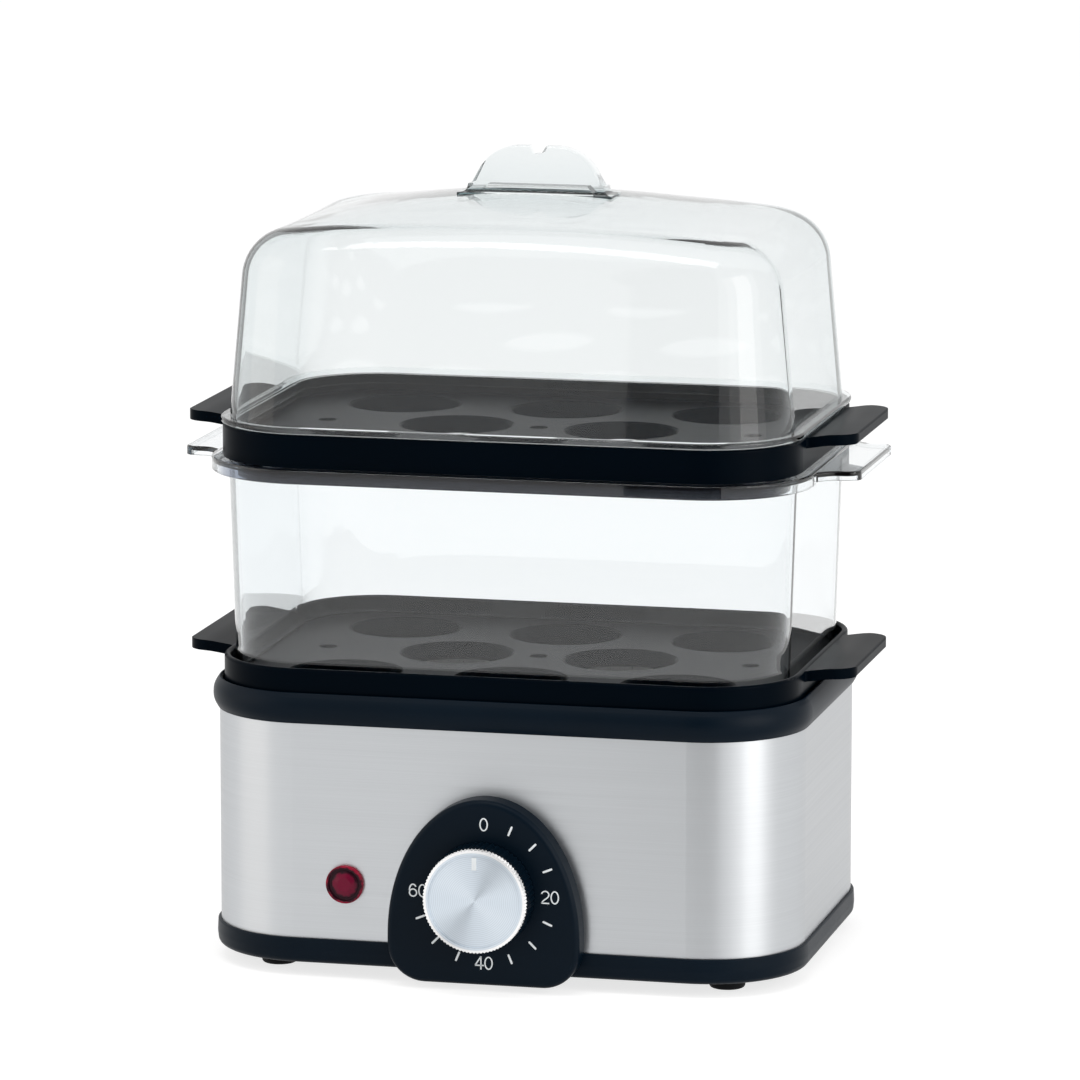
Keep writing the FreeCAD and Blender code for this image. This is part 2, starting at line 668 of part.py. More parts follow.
def clamp_strap():
    """Steel strap that presses thermostat and disc up against the dish."""
    end = STRAP_POST_Y + POST_RADIUS
    strap = Part.makeBox(STRAP_WIDTH, 2 * end, STRAP_THICKNESS, vec(-STRAP_WIDTH / 2, -end, STRAP_BOTTOM))
    corners = edges_along(strap, UP)
    strap = strap.makeFillet(STRAP_CORNER, corners)
    cut_bottom = STRAP_BOTTOM - OVERRUN
    cut_height = STRAP_THICKNESS + 2 * OVERRUN
    holes = [rod(STRAP_HOLE, cut_bottom, cut_height)]
    holes += [rod(BASE_SCREW_RADIUS + FIT, cut_bottom, cut_height, 0, side * STRAP_POST_Y)
              for side in (-1, 1)]
    return strap.cut(holes)


def strap_screws():
    """Two screws that hold the strap to the collar."""
    screws = []
    for side in (-1, 1):
        screw = pan_head_screw(BASE_SCREW_RADIUS, BASE_SCREW_HEAD, BASE_SCREW_HEAD_HEIGHT,
                               STRAP_SCREW_LENGTH)
        screw.translate(vec(0, side * STRAP_POST_Y, STRAP_BOTTOM))
        screws.append(screw)
    return Part.makeCompound(screws)


def thermostat():
    """Disc thermostat that cuts out when the dish boils dry, with two blade terminals."""
    body = turned([
        (0, STRAP_TOP),
        (THERMOSTAT_RADIUS, STRAP_TOP),
        (THERMOSTAT_RADIUS, DISC_BOTTOM - THERMOSTAT_CAP),
        (THERMOSTAT_RADIUS + THERMOSTAT_CAP_RIM, DISC_BOTTOM - THERMOSTAT_CAP),
        (THERMOSTAT_RADIUS + THERMOSTAT_CAP_RIM, DISC_BOTTOM, THERMOSTAT_CAP_RIM),
        (0, DISC_BOTTOM),
    ])
    blades = [Part.makeBox(TERMINAL_THICKNESS, TERMINAL_WIDTH, TERMINAL_LENGTH + OVERRUN,
                           vec(side * TERMINAL_PITCH / 2 - TERMINAL_THICKNESS / 2, -TERMINAL_WIDTH / 2,
                               STRAP_TOP - TERMINAL_LENGTH))
              for side in (-1, 1)]
    return fuse(body, *blades)


def thermal_fuse():
    """Thermal fuse in its sleeve, lying on the strap."""
    end = vec(-FUSE_LENGTH / 2, FUSE_Y, STRAP_TOP + FUSE_RADIUS)
    return Part.makeCylinder(FUSE_RADIUS, FUSE_LENGTH, end, vec(1, 0, 0))


# --- control panel and timer --------------------------------------------------------
def panel_prism(inset, y_front, y_back):
    """Arched outline of the panel, drawn in by the inset, between two depths."""
    half = PANEL_HALF_WIDTH - inset
    rise = PANEL_TOP - PANEL_WIDEST_Z - inset
    bottom = PANEL_BOTTOM + inset
    corner = PANEL_CORNER - inset
    middle = vec(0, y_front, PANEL_WIDEST_Z)
    ellipse = Part.Ellipse(middle + vec(0, 0, rise), middle + vec(half, 0, 0), middle)
    arch = Part.ArcOfEllipse(ellipse, -math.pi / 2, math.pi / 2).toShape()
    start, end = arch.Vertexes[0].Point, arch.Vertexes[-1].Point
    side = 1 if end.x > 0 else -1
    diagonal = corner * (1 - math.sqrt(0.5))

    def corner_arc(sign):
        high = vec(sign * half, y_front, bottom + corner)
        bend = vec(sign * (half - diagonal), y_front, bottom + diagonal)
        low = vec(sign * (half - corner), y_front, bottom)
        return high, low, Part.Arc(high, bend, low).toShape()

    end_high, end_low, end_arc = corner_arc(side)
    start_high, start_low, start_arc = corner_arc(-side)
    edges = [
        arch,
        Part.LineSegment(end, end_high).toShape(),
        end_arc,
        Part.LineSegment(end_low, start_low).toShape(),
        start_arc,
        Part.LineSegment(start_high, start).toShape(),
    ]
    return Part.Face(Part.Wire(Part.__sortEdges__(edges))).extrude(vec(0, y_back - y_front, 0))


def control_panel():
    """Arched bezel on the front: hollow behind, with screw bosses and the shaft hole."""
    panel = panel_prism(0, PANEL_FACE_Y, FRONT_Y)
    rim = [edge for edge in panel.Edges
           if all(abs(vertex.Point.y - PANEL_FACE_Y) < TINY for vertex in edge.Vertexes)]
    panel = panel.makeFillet(PANEL_EDGE, rim)
    inside = panel_prism(PANEL_WALL, PANEL_FACE_Y + PANEL_WALL, FRONT_Y + OVERRUN)
    panel = panel.cut(inside)
    bosses = [rod_y(PANEL_BOSS, PANEL_FACE_Y + PANEL_WALL - TINY, FRONT_Y, side * TIMER_SCREW_X, DIAL_Z)
              for side in (-1, 1)]
    panel = fuse(panel, *bosses)
    pan_room = plan_block(SHELL_RADIUS + PAN_BULGE + FIT, PAN_BOTTOM - FIT, PAN_RIM_TOP + FIT)
    cut_front = PANEL_FACE_Y - OVERRUN
    cuts = [pan_room, rod_y(TIMER_NOSE + FIT, cut_front, FRONT_Y, 0, DIAL_Z)]
    for side in (-1, 1):
        cuts.append(rod_y(TIMER_SCREW_RADIUS + FIT, cut_front, FRONT_Y + OVERRUN,
                          side * TIMER_SCREW_X, DIAL_Z))
        cuts.append(rod_y(TIMER_SCREW_HEAD + FIT, cut_front,
                          PANEL_FACE_Y + TIMER_SCREW_HEAD_HEIGHT, side * TIMER_SCREW_X, DIAL_Z))
    return panel.cut(cuts)


def timer_screws():
    """Two screws that clamp panel, shell and timer."""
    screws = []
    for side in (-1, 1):
        screw = pan_head_screw(TIMER_SCREW_RADIUS, TIMER_SCREW_HEAD, TIMER_SCREW_HEAD_HEIGHT,
                               TIMER_SCREW_LENGTH)
        screw.rotate(ORIGIN, vec(1, 0, 0), -90)
        screw.translate(vec(side * TIMER_SCREW_X, PANEL_FACE_Y + TIMER_SCREW_HEAD_HEIGHT, DIAL_Z))
        screws.append(screw)
    return Part.makeCompound(screws)


def timer_case():
    """Clockwork timer: front plate, case and the nose that carries the shaft."""
    plate_back = SHELL_INNER_FRONT_Y + TIMER_PLATE_THICKNESS
    plate = Part.makeBox(TIMER_PLATE_WIDTH, TIMER_PLATE_THICKNESS, TIMER_HEIGHT,
                         vec(-TIMER_PLATE_WIDTH / 2, SHELL_INNER_FRONT_Y, DIAL_Z - TIMER_HEIGHT / 2))
    case = Part.makeBox(TIMER_WIDTH, TIMER_DEPTH, TIMER_HEIGHT,
                        vec(-TIMER_WIDTH / 2, plate_back, DIAL_Z - TIMER_HEIGHT / 2))
    case = case.makeFillet(TIMER_CORNER, edges_along(case, BACK))
    nose = rod_y(TIMER_NOSE, SHELL_INNER_FRONT_Y - TIMER_NOSE_LENGTH, plate_back, 0, DIAL_Z)
    body = fuse(plate, case, nose)
    cuts = [rod_y(SHAFT_RADIUS + SHAFT_PLAY, SHELL_INNER_FRONT_Y - TIMER_NOSE_LENGTH - OVERRUN,
                  plate_back + TIMER_DEPTH / 2, 0, DIAL_Z)]
    screw_end = PANEL_FACE_Y + TIMER_SCREW_HEAD_HEIGHT + TIMER_SCREW_LENGTH
    for side in (-1, 1):
        cuts.append(rod_y(TIMER_SCREW_RADIUS + FIT, FRONT_Y, screw_end + OVERRUN,
                          side * TIMER_SCREW_X, DIAL_Z))
    return body.cut(cuts)


def timer_bell():
    """Bell cup on a stud behind the timer."""
    case_back = SHELL_INNER_FRONT_Y + TIMER_PLATE_THICKNESS + TIMER_DEPTH
    rim_y = case_back + BELL_GAP
    crown_y = rim_y + BELL_DEPTH
    return turned_y([
        (0, case_back),
        (BELL_STUD, case_back),
        (BELL_STUD, crown_y - BELL_WALL),
        (BELL_RADIUS - BELL_WALL, crown_y - BELL_WALL, BELL_ROUND - BELL_WALL),
        (BELL_RADIUS - BELL_WALL, rim_y),
        (BELL_RADIUS, rim_y),
        (BELL_RADIUS, crown_y, BELL_ROUND),
        (0, crown_y),
    ], 0, DIAL_Z)


def d_shaft(y_from, y_to):
    """The timer's shaft along Y, with a flat on its upper side."""
    flat = Part.makeBox(2 * SHAFT_RADIUS, y_to - y_from, SHAFT_FLAT,
                        vec(-SHAFT_RADIUS, y_from, DIAL_Z + SHAFT_RADIUS - SHAFT_FLAT))
    return rod_y(SHAFT_RADIUS, y_from, y_to, 0, DIAL_Z).cut(flat)


def timer_shaft():
    """Timer shaft: round in the nose, with a flat inside the knob."""
    inner_end = SHELL_INNER_FRONT_Y + TIMER_PLATE_THICKNESS + TIMER_DEPTH / 2 - SLIP
    outer_end = CAP_BACK_Y + KNOB_FRONT
    plain = rod_y(SHAFT_RADIUS, KNOB_BACK_Y, inner_end, 0, DIAL_Z)
    return fuse(plain, d_shaft(outer_end, KNOB_BACK_Y))


def knob_body():
    """Fluted knob, hollow behind, with a hub that fits the shaft."""
    blank = scalloped_disc(KNOB_RADIUS, KNOB_FLUTE_DEPTH, KNOB_FLUTES, CAP_BACK_Y, KNOB_BACK_Y)
    hollow = rod_y(KNOB_RADIUS - KNOB_FLUTE_DEPTH - KNOB_WALL, CAP_BACK_Y + KNOB_FRONT,
                   KNOB_BACK_Y + OVERRUN, 0, DIAL_Z)
    hub = rod_y(KNOB_HUB, CAP_BACK_Y + KNOB_FRONT - TINY, KNOB_BACK_Y, 0, DIAL_Z)
    socket = d_shaft(CAP_BACK_Y + KNOB_FRONT, KNOB_BACK_Y + OVERRUN)
    return fuse(blank.cut(hollow), hub).cut(socket)


def knob_cap():
    """Spun cap with a knurled rim and a sunk face."""
    blank = scalloped_disc(CAP_RADIUS, CAP_KNURL_DEPTH, CAP_KNURLS, KNOB_FRONT_Y, CAP_BACK_Y)
    return blank.cut(rod_y(CAP_FACE_RADIUS, KNOB_FRONT_Y - OVERRUN, CAP_FACE_Y, 0, DIAL_Z))


def knob_pointer():
    """Raised bar on the cap that shows the set time."""
    return Part.makeBox(POINTER_WIDTH, POINTER_RAISE, POINTER_LENGTH,
                        vec(-POINTER_WIDTH / 2, CAP_FACE_Y - POINTER_RAISE,
                            DIAL_Z + POINTER_TOP - POINTER_LENGTH))


# --- lamp and mains entry -----------------------------------------------------------
def lamp_lens():
    """Lens with a rounded rim, a groove and a low dome."""
    inner = LENS_RADIUS - LENS_RIM
    dome = inner - LENS_GROOVE
    middle = FRONT_Y - LENS_PROUD
    return turned_y([
        (0, middle),
        (dome / 2, middle),
        (dome, middle + LENS_DOME_DROP, LENS_DOME_ROUND),
        (dome, middle + LENS_GROOVE_DROP),
        (inner, middle + LENS_GROOVE_DROP),
        (inner, middle + LENS_RIM_DROP, EDGE_BREAK),
        (LENS_RADIUS, middle + LENS_RIM_DROP, LENS_RIM_ROUND),
        (LENS_RADIUS, FRONT_Y),
        (LENS_STEM, FRONT_Y),
        (LENS_STEM, FRONT_Y + LENS_STEM_LENGTH),
        (0, FRONT_Y + LENS_STEM_LENGTH),
    ], LAMP_X, LAMP_Z)


def lamp_body():
    """Lamp holder that passes through the shell."""
    body = rod_y(LAMP_BODY_RADIUS, FRONT_Y, FRONT_Y + LAMP_BODY_LENGTH, LAMP_X, LAMP_Z)
    socket = rod_y(LENS_STEM + FIT, FRONT_Y - OVERRUN, FRONT_Y + LENS_STEM_LENGTH, LAMP_X, LAMP_Z)
    return body.cut(socket)


def lamp_clip():
    """Push-on spring washer that holds the lamp from behind."""
    back = SHELL_INNER_FRONT_Y + CLIP_THICKNESS
    washer = rod_y(CLIP_RADIUS, SHELL_INNER_FRONT_Y, back, LAMP_X, LAMP_Z)
    return washer.cut(rod_y(LAMP_BODY_RADIUS + FIT, FRONT_Y, back + OVERRUN, LAMP_X, LAMP_Z))


def cord_gland():
    """Rubber gland in the rear wall, with a bore for the mains cord."""
    inside = REAR_Y - SHELL_WALL
    return turned_y([
        (GLAND_BORE, inside - GLAND_INSIDE),
        (GLAND_BARREL, inside - GLAND_INSIDE),
        (GLAND_FLANGE, inside - GLAND_INSIDE / 2),
        (GLAND_FLANGE, inside),
        (GLAND_BARREL, inside),
        (GLAND_BARREL, REAR_Y),
        (GLAND_FLANGE, REAR_Y),
        (GLAND_FLANGE, REAR_Y + GLAND_FLANGE_THICKNESS, GLAND_ROUND),
        (GLAND_BARREL, REAR_Y + GLAND_FLANGE_THICKNESS, GLAND_ROUND),
        (GLAND_BARREL - GLAND_NOSE_TAPER, GLAND_REAR_Y, GLAND_ROUND),
        (GLAND_BORE, GLAND_REAR_Y),
    ], GLAND_X, GLAND_Z)


def terminal_block():
    """Terminal block on the pan floor, with one way for each mains wire."""
    block = Part.makeBox(BLOCK_LENGTH, BLOCK_WIDTH, BLOCK_HEIGHT,
                         vec(BLOCK_X - BLOCK_LENGTH / 2, BLOCK_Y - BLOCK_WIDTH / 2, PAN_FLOOR_TOP))
    pitch = BLOCK_LENGTH / BLOCK_HOLES
    ways = [rod_y(BLOCK_HOLE_RADIUS, BLOCK_Y - BLOCK_WIDTH, BLOCK_Y + BLOCK_WIDTH,
                  BLOCK_X + (index - (BLOCK_HOLES - 1) / 2) * pitch, PAN_FLOOR_TOP + BLOCK_HEIGHT / 2)
            for index in range(BLOCK_HOLES)]
    return block.cut(ways)


# --- trays, ring and lid ------------------------------------------------------------
def seat_places():
    """Centres of the eight egg seats: three, two and three."""
    rows = [(x, side * SEAT_Y) for side in (-1, 1) for x in (-SEAT_X, 0, SEAT_X)]
    return rows + [(-SEAT_X / 2, 0), (SEAT_X / 2, 0)]


def handle_block(reach, half, flare, corner, root_x, bottom, top):
    """Upright block with the plan of a side handle: flared at the wall, rounded at the tip."""
    buried_x = root_x - TRAY_WALL / 2
    plan = profile([
        (buried_x, -half - flare),
        (root_x, -half - flare),
        (root_x + flare, -half, flare),
        (reach, -half, corner),
        (reach, half, corner),
        (root_x + flare, half, flare),
        (root_x, half + flare),
        (buried_x, half + flare),
    ])
    plan.rotate(ORIGIN, vec(1, 0, 0), -90)
    plan.translate(vec(0, 0, bottom))
    return plan.extrude(vec(0, 0, top - bottom))


def tray_handle(foot):
    """One handle of a tray: a plate that rises from the wall and then runs level."""
    root_x = CORE_X + TRAY_RADIUS - TRAY_WALL / 2
    root_top = foot + TRAY_HEIGHT - HANDLE_ROOT_DROP
    tip_top = root_top + HANDLE_RISE
    bend_x = root_x + HANDLE_BEND
    side_view = profile([
        (root_x - TRAY_WALL / 2, root_top - HANDLE_THICKNESS),
        (bend_x, tip_top - HANDLE_THICKNESS, HANDLE_BEND_ROUND),
        (HANDLE_REACH, tip_top - HANDLE_THICKNESS, HANDLE_EDGE),
        (HANDLE_REACH, tip_top, HANDLE_EDGE),
        (bend_x, tip_top, HANDLE_BEND_ROUND),
        (root_x - TRAY_WALL / 2, root_top),
    ])
    half_slab = HANDLE_HALF + HANDLE_FLARE + OVERRUN
    side_view.translate(vec(0, -half_slab, 0))
    slab = side_view.extrude(vec(0, 2 * half_slab, 0))
    outline = handle_block(HANDLE_REACH, HANDLE_HALF, HANDLE_FLARE, HANDLE_CORNER, root_x,
                           root_top - HANDLE_THICKNESS - OVERRUN, tip_top + OVERRUN)
    return slab.common(outline)


def both_sides(shape):
    """A shape and its mirror image about the YZ plane."""
    return [shape, shape.mirror(ORIGIN, vec(1, 0, 0))]


def egg_tray(foot, skirt_radius, skirt_drop):
    """Tray with eight open egg seats, a locating skirt and two handles."""
    floor_bottom = foot + TRAY_FLOOR_Z
    floor_top = floor_bottom + TRAY_FLOOR
    rim = foot + TRAY_HEIGHT
    tray = solid_band([
        (0, floor_bottom),
        (TRAY_INSIDE, floor_bottom),
        (TRAY_INSIDE, foot),
        (TRAY_RADIUS, foot),
        (TRAY_RADIUS, rim, TRAY_RIM_ROUND),
        (TRAY_INSIDE, rim, TRAY_RIM_ROUND),
        (TRAY_INSIDE, floor_top, TRAY_FLOOR_ROUND),
        (0, floor_top),
    ], floor_bottom, floor_top)
    skirt = band([
        (skirt_radius - TRAY_SKIRT_WALL, foot - skirt_drop),
        (skirt_radius - TRAY_SKIRT_LEAD, foot - skirt_drop),
        (skirt_radius, floor_bottom + TINY),
        (skirt_radius - TRAY_SKIRT_WALL, floor_bottom + TINY),
    ])
    collars = [rod(SEAT_RADIUS + SEAT_COLLAR_WALL, floor_bottom - SEAT_COLLAR_DROP,
                   SEAT_COLLAR_DROP + TRAY_FLOOR, *place) for place in seat_places()]
    tray = fuse(tray, skirt, *collars, *both_sides(tray_handle(foot)))
    cuts = []
    for place in seat_places():
        cuts.append(turned([
            (0, floor_bottom - SEAT_COLLAR_DROP - OVERRUN),
            (SEAT_RADIUS - SEAT_CHAMFER, floor_bottom - SEAT_COLLAR_DROP - OVERRUN),
            (SEAT_RADIUS - SEAT_CHAMFER, floor_bottom - SEAT_COLLAR_DROP / 2),
            (SEAT_RADIUS, floor_top - SEAT_CHAMFER / 2),
            (SEAT_RADIUS + SEAT_CHAMFER, floor_top + SEAT_CHAMFER / 2),
            (0, floor_top + SEAT_CHAMFER / 2),
        ], *place))
    end_hole_x = SEAT_X + STEAM_HOLE_STEP
    for x in (-end_hole_x, 0, end_hole_x):
        cuts.append(rod(STEAM_HOLE, floor_bottom - OVERRUN, TRAY_FLOOR + 2 * OVERRUN, x))
    return tray.cut(cuts)


def ring_handle():
    """One handle of the steam ring: a plate with a rounded rim turned down all round."""
    top = RING_TOP_Z - RING_HANDLE_DROP
    bottom = top - RING_HANDLE_SKIRT
    root_x = CORE_X + FLANGE_RADIUS - FLANGE_WALL
    block = handle_block(RING_HANDLE_REACH, RING_HANDLE_HALF, RING_HANDLE_FLARE, RING_HANDLE_CORNER,
                         root_x, bottom, top)
    block = block.makeFillet(RING_EDGE, top_rim(block))
    hollow = handle_block(RING_HANDLE_REACH - RING_HANDLE_WALL, RING_HANDLE_HALF - RING_HANDLE_WALL,
                          RING_HANDLE_FLARE, RING_HANDLE_CORNER - RING_HANDLE_WALL,
                          root_x, bottom - OVERRUN, top - FLANGE_THICKNESS)
    inside = plan_block(FLANGE_RADIUS - FLANGE_WALL / 2, bottom - OVERRUN, top + OVERRUN)
    return block.cut([hollow, inside])


def steam_ring():
    """Clear ring between the trays: tapered wall, hollow flange and two handles."""
    under = RING_TOP_Z - FLANGE_THICKNESS
    skirt_bottom = RING_TOP_Z - FLANGE_DROP
    ring = band([
        (RING_FOOT_RADIUS - RING_WALL, RING_Z),
        (RING_FOOT_RADIUS, RING_Z, RING_EDGE),
        (RING_TOP_RADIUS, under),
        (FLANGE_RADIUS - FLANGE_WALL, under),
        (FLANGE_RADIUS - FLANGE_WALL, skirt_bottom),
        (FLANGE_RADIUS, skirt_bottom, RING_EDGE),
        (FLANGE_RADIUS, RING_TOP_Z, RING_EDGE),
        (RING_TOP_RADIUS - RING_WALL, RING_TOP_Z, RING_EDGE),
    ])
    return fuse(ring, *both_sides(ring_handle()))


def crown_block(inset):
    """Block under the pillow-shaped crown, which falls off both ways as a square."""
    reach_x = CORE_X + LID_RADIUS
    reach_y = CORE_Y + LID_RADIUS
    level = LID_TOP - inset - CROWN_RISE
    steps = [k / CROWN_STEPS for k in range(-CROWN_STEPS, CROWN_STEPS + 1)]
    rows = []
    for across in steps:
        x = across * reach_x
        row = []
        for along in steps:
            y = along * reach_y
            rise = (1 - (x / CROWN_X_SPAN) ** 2) * (1 - (y / CROWN_Y_SPAN) ** 2)
            row.append(vec(x, y, level + CROWN_RISE * rise))
        rows.append(row)
    crown = Part.BSplineSurface()
    crown.interpolate(rows)
    return crown.toShape().extrude(vec(0, 0, -LID_TOP))


def lid_form(inset, bottom):
    """Crowned, tapered form of the lid, drawn in by the inset."""
    foot = LID_FOOT_RADIUS - inset
    ceiling = LID_TOP + 2 * LID_WALL
    slope = LID_TAPER / (LID_TOP - LID_Z)
    block = solid_band([
        (0, bottom),
        (foot + slope * (LID_Z - bottom), bottom),
        (foot - slope * (ceiling - LID_Z), ceiling),
        (0, ceiling),
    ], bottom, ceiling)
    form = block.common(crown_block(inset))
    shoulder = []
    for face in form.Faces:
        if isinstance(face.Surface, Part.BSplineSurface):
            shoulder += face.OuterWire.Edges
    return form.makeFillet(LID_SHOULDER - inset, shoulder)


def fin_foot():
    """Low mound under the grip, flared out to the crown on all four sides."""
    base = LID_TOP - FIN_ROOT
    start = LID_TOP - FIN_FOOT_SINK
    top = start + FIN_FOOT_HEIGHT
    flares = []
    for width in (FIN_WIDTH, FIN_BASE_THICKNESS):
        half = width / 2
        spread = half + FIN_FOOT_SPREAD
        flares.append(profile([
            (-spread, base),
            (spread, base),
            (spread, start),
            (half, start + FIN_FOOT_SINK, FIN_FOOT_ROUND),
            (half - FIN_FOOT_SINK, top),
            (FIN_FOOT_SINK - half, top),
            (-half, start + FIN_FOOT_SINK, FIN_FOOT_ROUND),
            (-spread, start),
        ]))
    along, across = flares
    reach = FIN_WIDTH / 2 + FIN_FOOT_SPREAD
    across.rotate(ORIGIN, UP, 90)
    across.translate(vec(-reach, 0, 0))
    along.translate(vec(0, -reach, 0))
    return across.extrude(vec(2 * reach, 0, 0)).common(along.extrude(vec(0, 2 * reach, 0)))


def lid_fin():
    """Grip on the lid: round-shouldered, thinner towards its top, with a notch."""
    base = LID_TOP - FIN_ROOT
    top = LID_TOP + FIN_HEIGHT
    half = FIN_WIDTH / 2
    lean = 1 / math.tan(math.radians(FIN_END_SLOPE))
    outline = profile([
        (-half - FIN_ROOT * lean, base),
        (half + FIN_ROOT * lean, base),
        (half - FIN_HEIGHT * lean, top, FIN_SHOULDER),
        (FIN_HEIGHT * lean - half, top, FIN_SHOULDER),
    ])
    outline.translate(vec(0, -FIN_BASE_THICKNESS, 0))
    wedge = profile([
        (-FIN_BASE_THICKNESS / 2, base),
        (FIN_BASE_THICKNESS / 2, base),
        (FIN_TIP_THICKNESS / 2, top + OVERRUN),
        (-FIN_TIP_THICKNESS / 2, top + OVERRUN),
    ])
    wedge.rotate(ORIGIN, UP, 90)
    wedge.translate(vec(-FIN_WIDTH, 0, 0))
    fin = wedge.extrude(vec(2 * FIN_WIDTH, 0, 0))
    fin = fin.common(outline.extrude(vec(0, 2 * FIN_BASE_THICKNESS, 0)))
    rims = [edge for edge in fin.Edges
            if edge.BoundBox.ZMax > base + OVERRUN and edge.BoundBox.XLength > OVERRUN]
    fin = fin.makeFillet(FIN_EDGE, rims)
    notch = profile([
        (-FIN_NOTCH_WIDTH / 2, top + OVERRUN),
        (-FIN_NOTCH_WIDTH / 2, top),
        (-FIN_NOTCH_FLOOR / 2, top - FIN_NOTCH_DEPTH, FIN_NOTCH_ROUND),
        (FIN_NOTCH_FLOOR / 2, top - FIN_NOTCH_DEPTH, FIN_NOTCH_ROUND),
        (FIN_NOTCH_WIDTH / 2, top),
        (FIN_NOTCH_WIDTH / 2, top + OVERRUN),
    ])
    notch.translate(vec(0, -FIN_BASE_THICKNESS, 0))
    return fin.cut(notch.extrude(vec(0, 2 * FIN_BASE_THICKNESS, 0)))


def fin_pocket():
    """Hollow under the grip that keeps the moulding's wall even."""
    bottom = LID_TOP - LID_WALL - OVERRUN
    top = LID_TOP + FIN_POCKET_HEIGHT
    half = FIN_POCKET_WIDTH / 2
    side_view = profile([
        (-half, bottom),
        (half, bottom),
        (half, LID_TOP),
        (half - FIN_POCKET_SLANT, top),
        (FIN_POCKET_SLANT - half, top),
        (-half, LID_TOP),
    ])
    side_view.translate(vec(0, -FIN_POCKET_THICKNESS / 2, 0))
    return side_view.extrude(vec(0, FIN_POCKET_THICKNESS, 0))


def lid():
    """Clear lid: flange on the tray's rim, locating skirt, domed wall and grip."""
    shell = lid_form(0, LID_Z).cut(lid_form(LID_WALL, LID_Z - OVERRUN))
    skirt_outside = TRAY_INSIDE - SLIP
    flange = band([
        (LID_FOOT_RADIUS - LID_WALL / 2, LID_Z),
        (skirt_outside - LID_SKIRT_WALL, LID_Z),
        (skirt_outside - LID_SKIRT_WALL, LID_Z - LID_SKIRT_DROP),
        (skirt_outside, LID_Z - LID_SKIRT_DROP),
        (skirt_outside, LID_Z),
        (LID_RADIUS, LID_Z, LID_FLANGE_ROUND),
        (LID_RADIUS, LID_Z + LID_FLANGE, LID_FLANGE_ROUND),
        (LID_FOOT_RADIUS - LID_WALL / 2, LID_Z + LID_FLANGE),
    ])
    return fuse(shell, flange, fin_foot(), lid_fin()).cut(fin_pocket())


def build_parts():
    """Every node with its shape."""
    element = element_ring()
    return {
        "bottom_pan": bottom_pan(),
        "steel_shell": steel_shell(),
        "top_collar": top_collar(),
        "rubber_feet": rubber_feet(),
        "base_screws": base_screws(),
        "control_panel": control_panel(),
        "heating_plate": heating_plate(),
        "plate_seal": plate_seal(),
        "element_disc": element_disc(element),
        "heating_element": element,
        "clamp_strap": clamp_strap(),
        "strap_screws": strap_screws(),
        "thermostat": thermostat(),
        "thermal_fuse": thermal_fuse(),
        "timer_case": timer_case(),
        "timer_bell": timer_bell(),
        "timer_screws": timer_screws(),
        "timer_shaft": timer_shaft(),
        "knob_body": knob_body(),
        "knob_cap": knob_cap(),
        "knob_pointer": knob_pointer(),
        "lamp_lens": lamp_lens(),
        "lamp_body": lamp_body(),
        "lamp_clip": lamp_clip(),
        "cord_gland": cord_gland(),
        "terminal_block": terminal_block(),
        "lower_tray": egg_tray(LOWER_TRAY_Z, LOWER_SKIRT_RADIUS, LOWER_SKIRT_DROP),
        "steam_ring": steam_ring(),
        "upper_tray": egg_tray(UPPER_TRAY_Z, UPPER_SKIRT_RADIUS, UPPER_SKIRT_DROP),
        "lid": lid(),
    }


def main():
    """Write one STEP file per node and print what each holds."""
    os.makedirs("parts", exist_ok=True)
    for name, shape in build_parts().items():
        shape.translate(vec(0, BODY_Y, 0))
        shape.exportStep(os.path.join("parts", name + ".step"))
        box = shape.BoundBox
        print(f"{name:16s} solids {len(shape.Solids)} valid {shape.isValid()} volume {shape.Volume:10.1f}"
              f" x {box.XMin:7.1f} {box.XMax:7.1f} y {box.YMin:7.1f} {box.YMax:7.1f}"
              f" z {box.ZMin:6.1f} {box.ZMax:6.1f}")


main()
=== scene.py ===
"""Two-tier electric egg boiler: finishes, clear mouldings, dial print and studio light."""
import json
import logging
import math
from dataclasses import dataclass
from enum import Enum
from typing import ClassVar, Protocol, Sequence

import bmesh
import bpy
import numpy as np
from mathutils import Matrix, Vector


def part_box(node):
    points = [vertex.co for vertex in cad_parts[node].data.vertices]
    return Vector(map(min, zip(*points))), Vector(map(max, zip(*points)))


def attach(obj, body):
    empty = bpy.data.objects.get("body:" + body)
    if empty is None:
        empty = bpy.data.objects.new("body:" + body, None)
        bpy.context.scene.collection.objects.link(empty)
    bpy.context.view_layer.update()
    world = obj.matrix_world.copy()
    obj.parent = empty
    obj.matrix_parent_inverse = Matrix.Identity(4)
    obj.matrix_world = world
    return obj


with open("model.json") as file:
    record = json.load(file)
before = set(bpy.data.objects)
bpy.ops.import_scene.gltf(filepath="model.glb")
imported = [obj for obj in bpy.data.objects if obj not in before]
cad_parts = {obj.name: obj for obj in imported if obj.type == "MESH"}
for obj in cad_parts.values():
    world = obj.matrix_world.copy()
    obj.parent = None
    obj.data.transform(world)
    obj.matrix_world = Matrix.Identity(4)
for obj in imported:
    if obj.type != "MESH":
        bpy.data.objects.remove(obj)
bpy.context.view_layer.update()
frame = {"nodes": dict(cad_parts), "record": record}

MM = 0.001
QUARTER_TURN = 0.25
LOG = logging.getLogger("egg_boiler")

Colour = tuple[float, float, float, float]
Pair = tuple[float, float]
Stroke = tuple[np.ndarray, bool]


def grey(level: float, warmth: float = 0.0) -> Colour:
    """A grey of that level, a little warmer (or cooler when negative)."""
    return (level * (1 + warmth), level, level * (1 - warmth), 1.0)


def toned(colour: Colour, factor: float) -> Colour:
    """A colour made darker or lighter by a factor, but not past white."""
    return tuple(min(part * factor, 1.0) for part in colour[:3]) + (1.0,)


WHITE = grey(1.0)


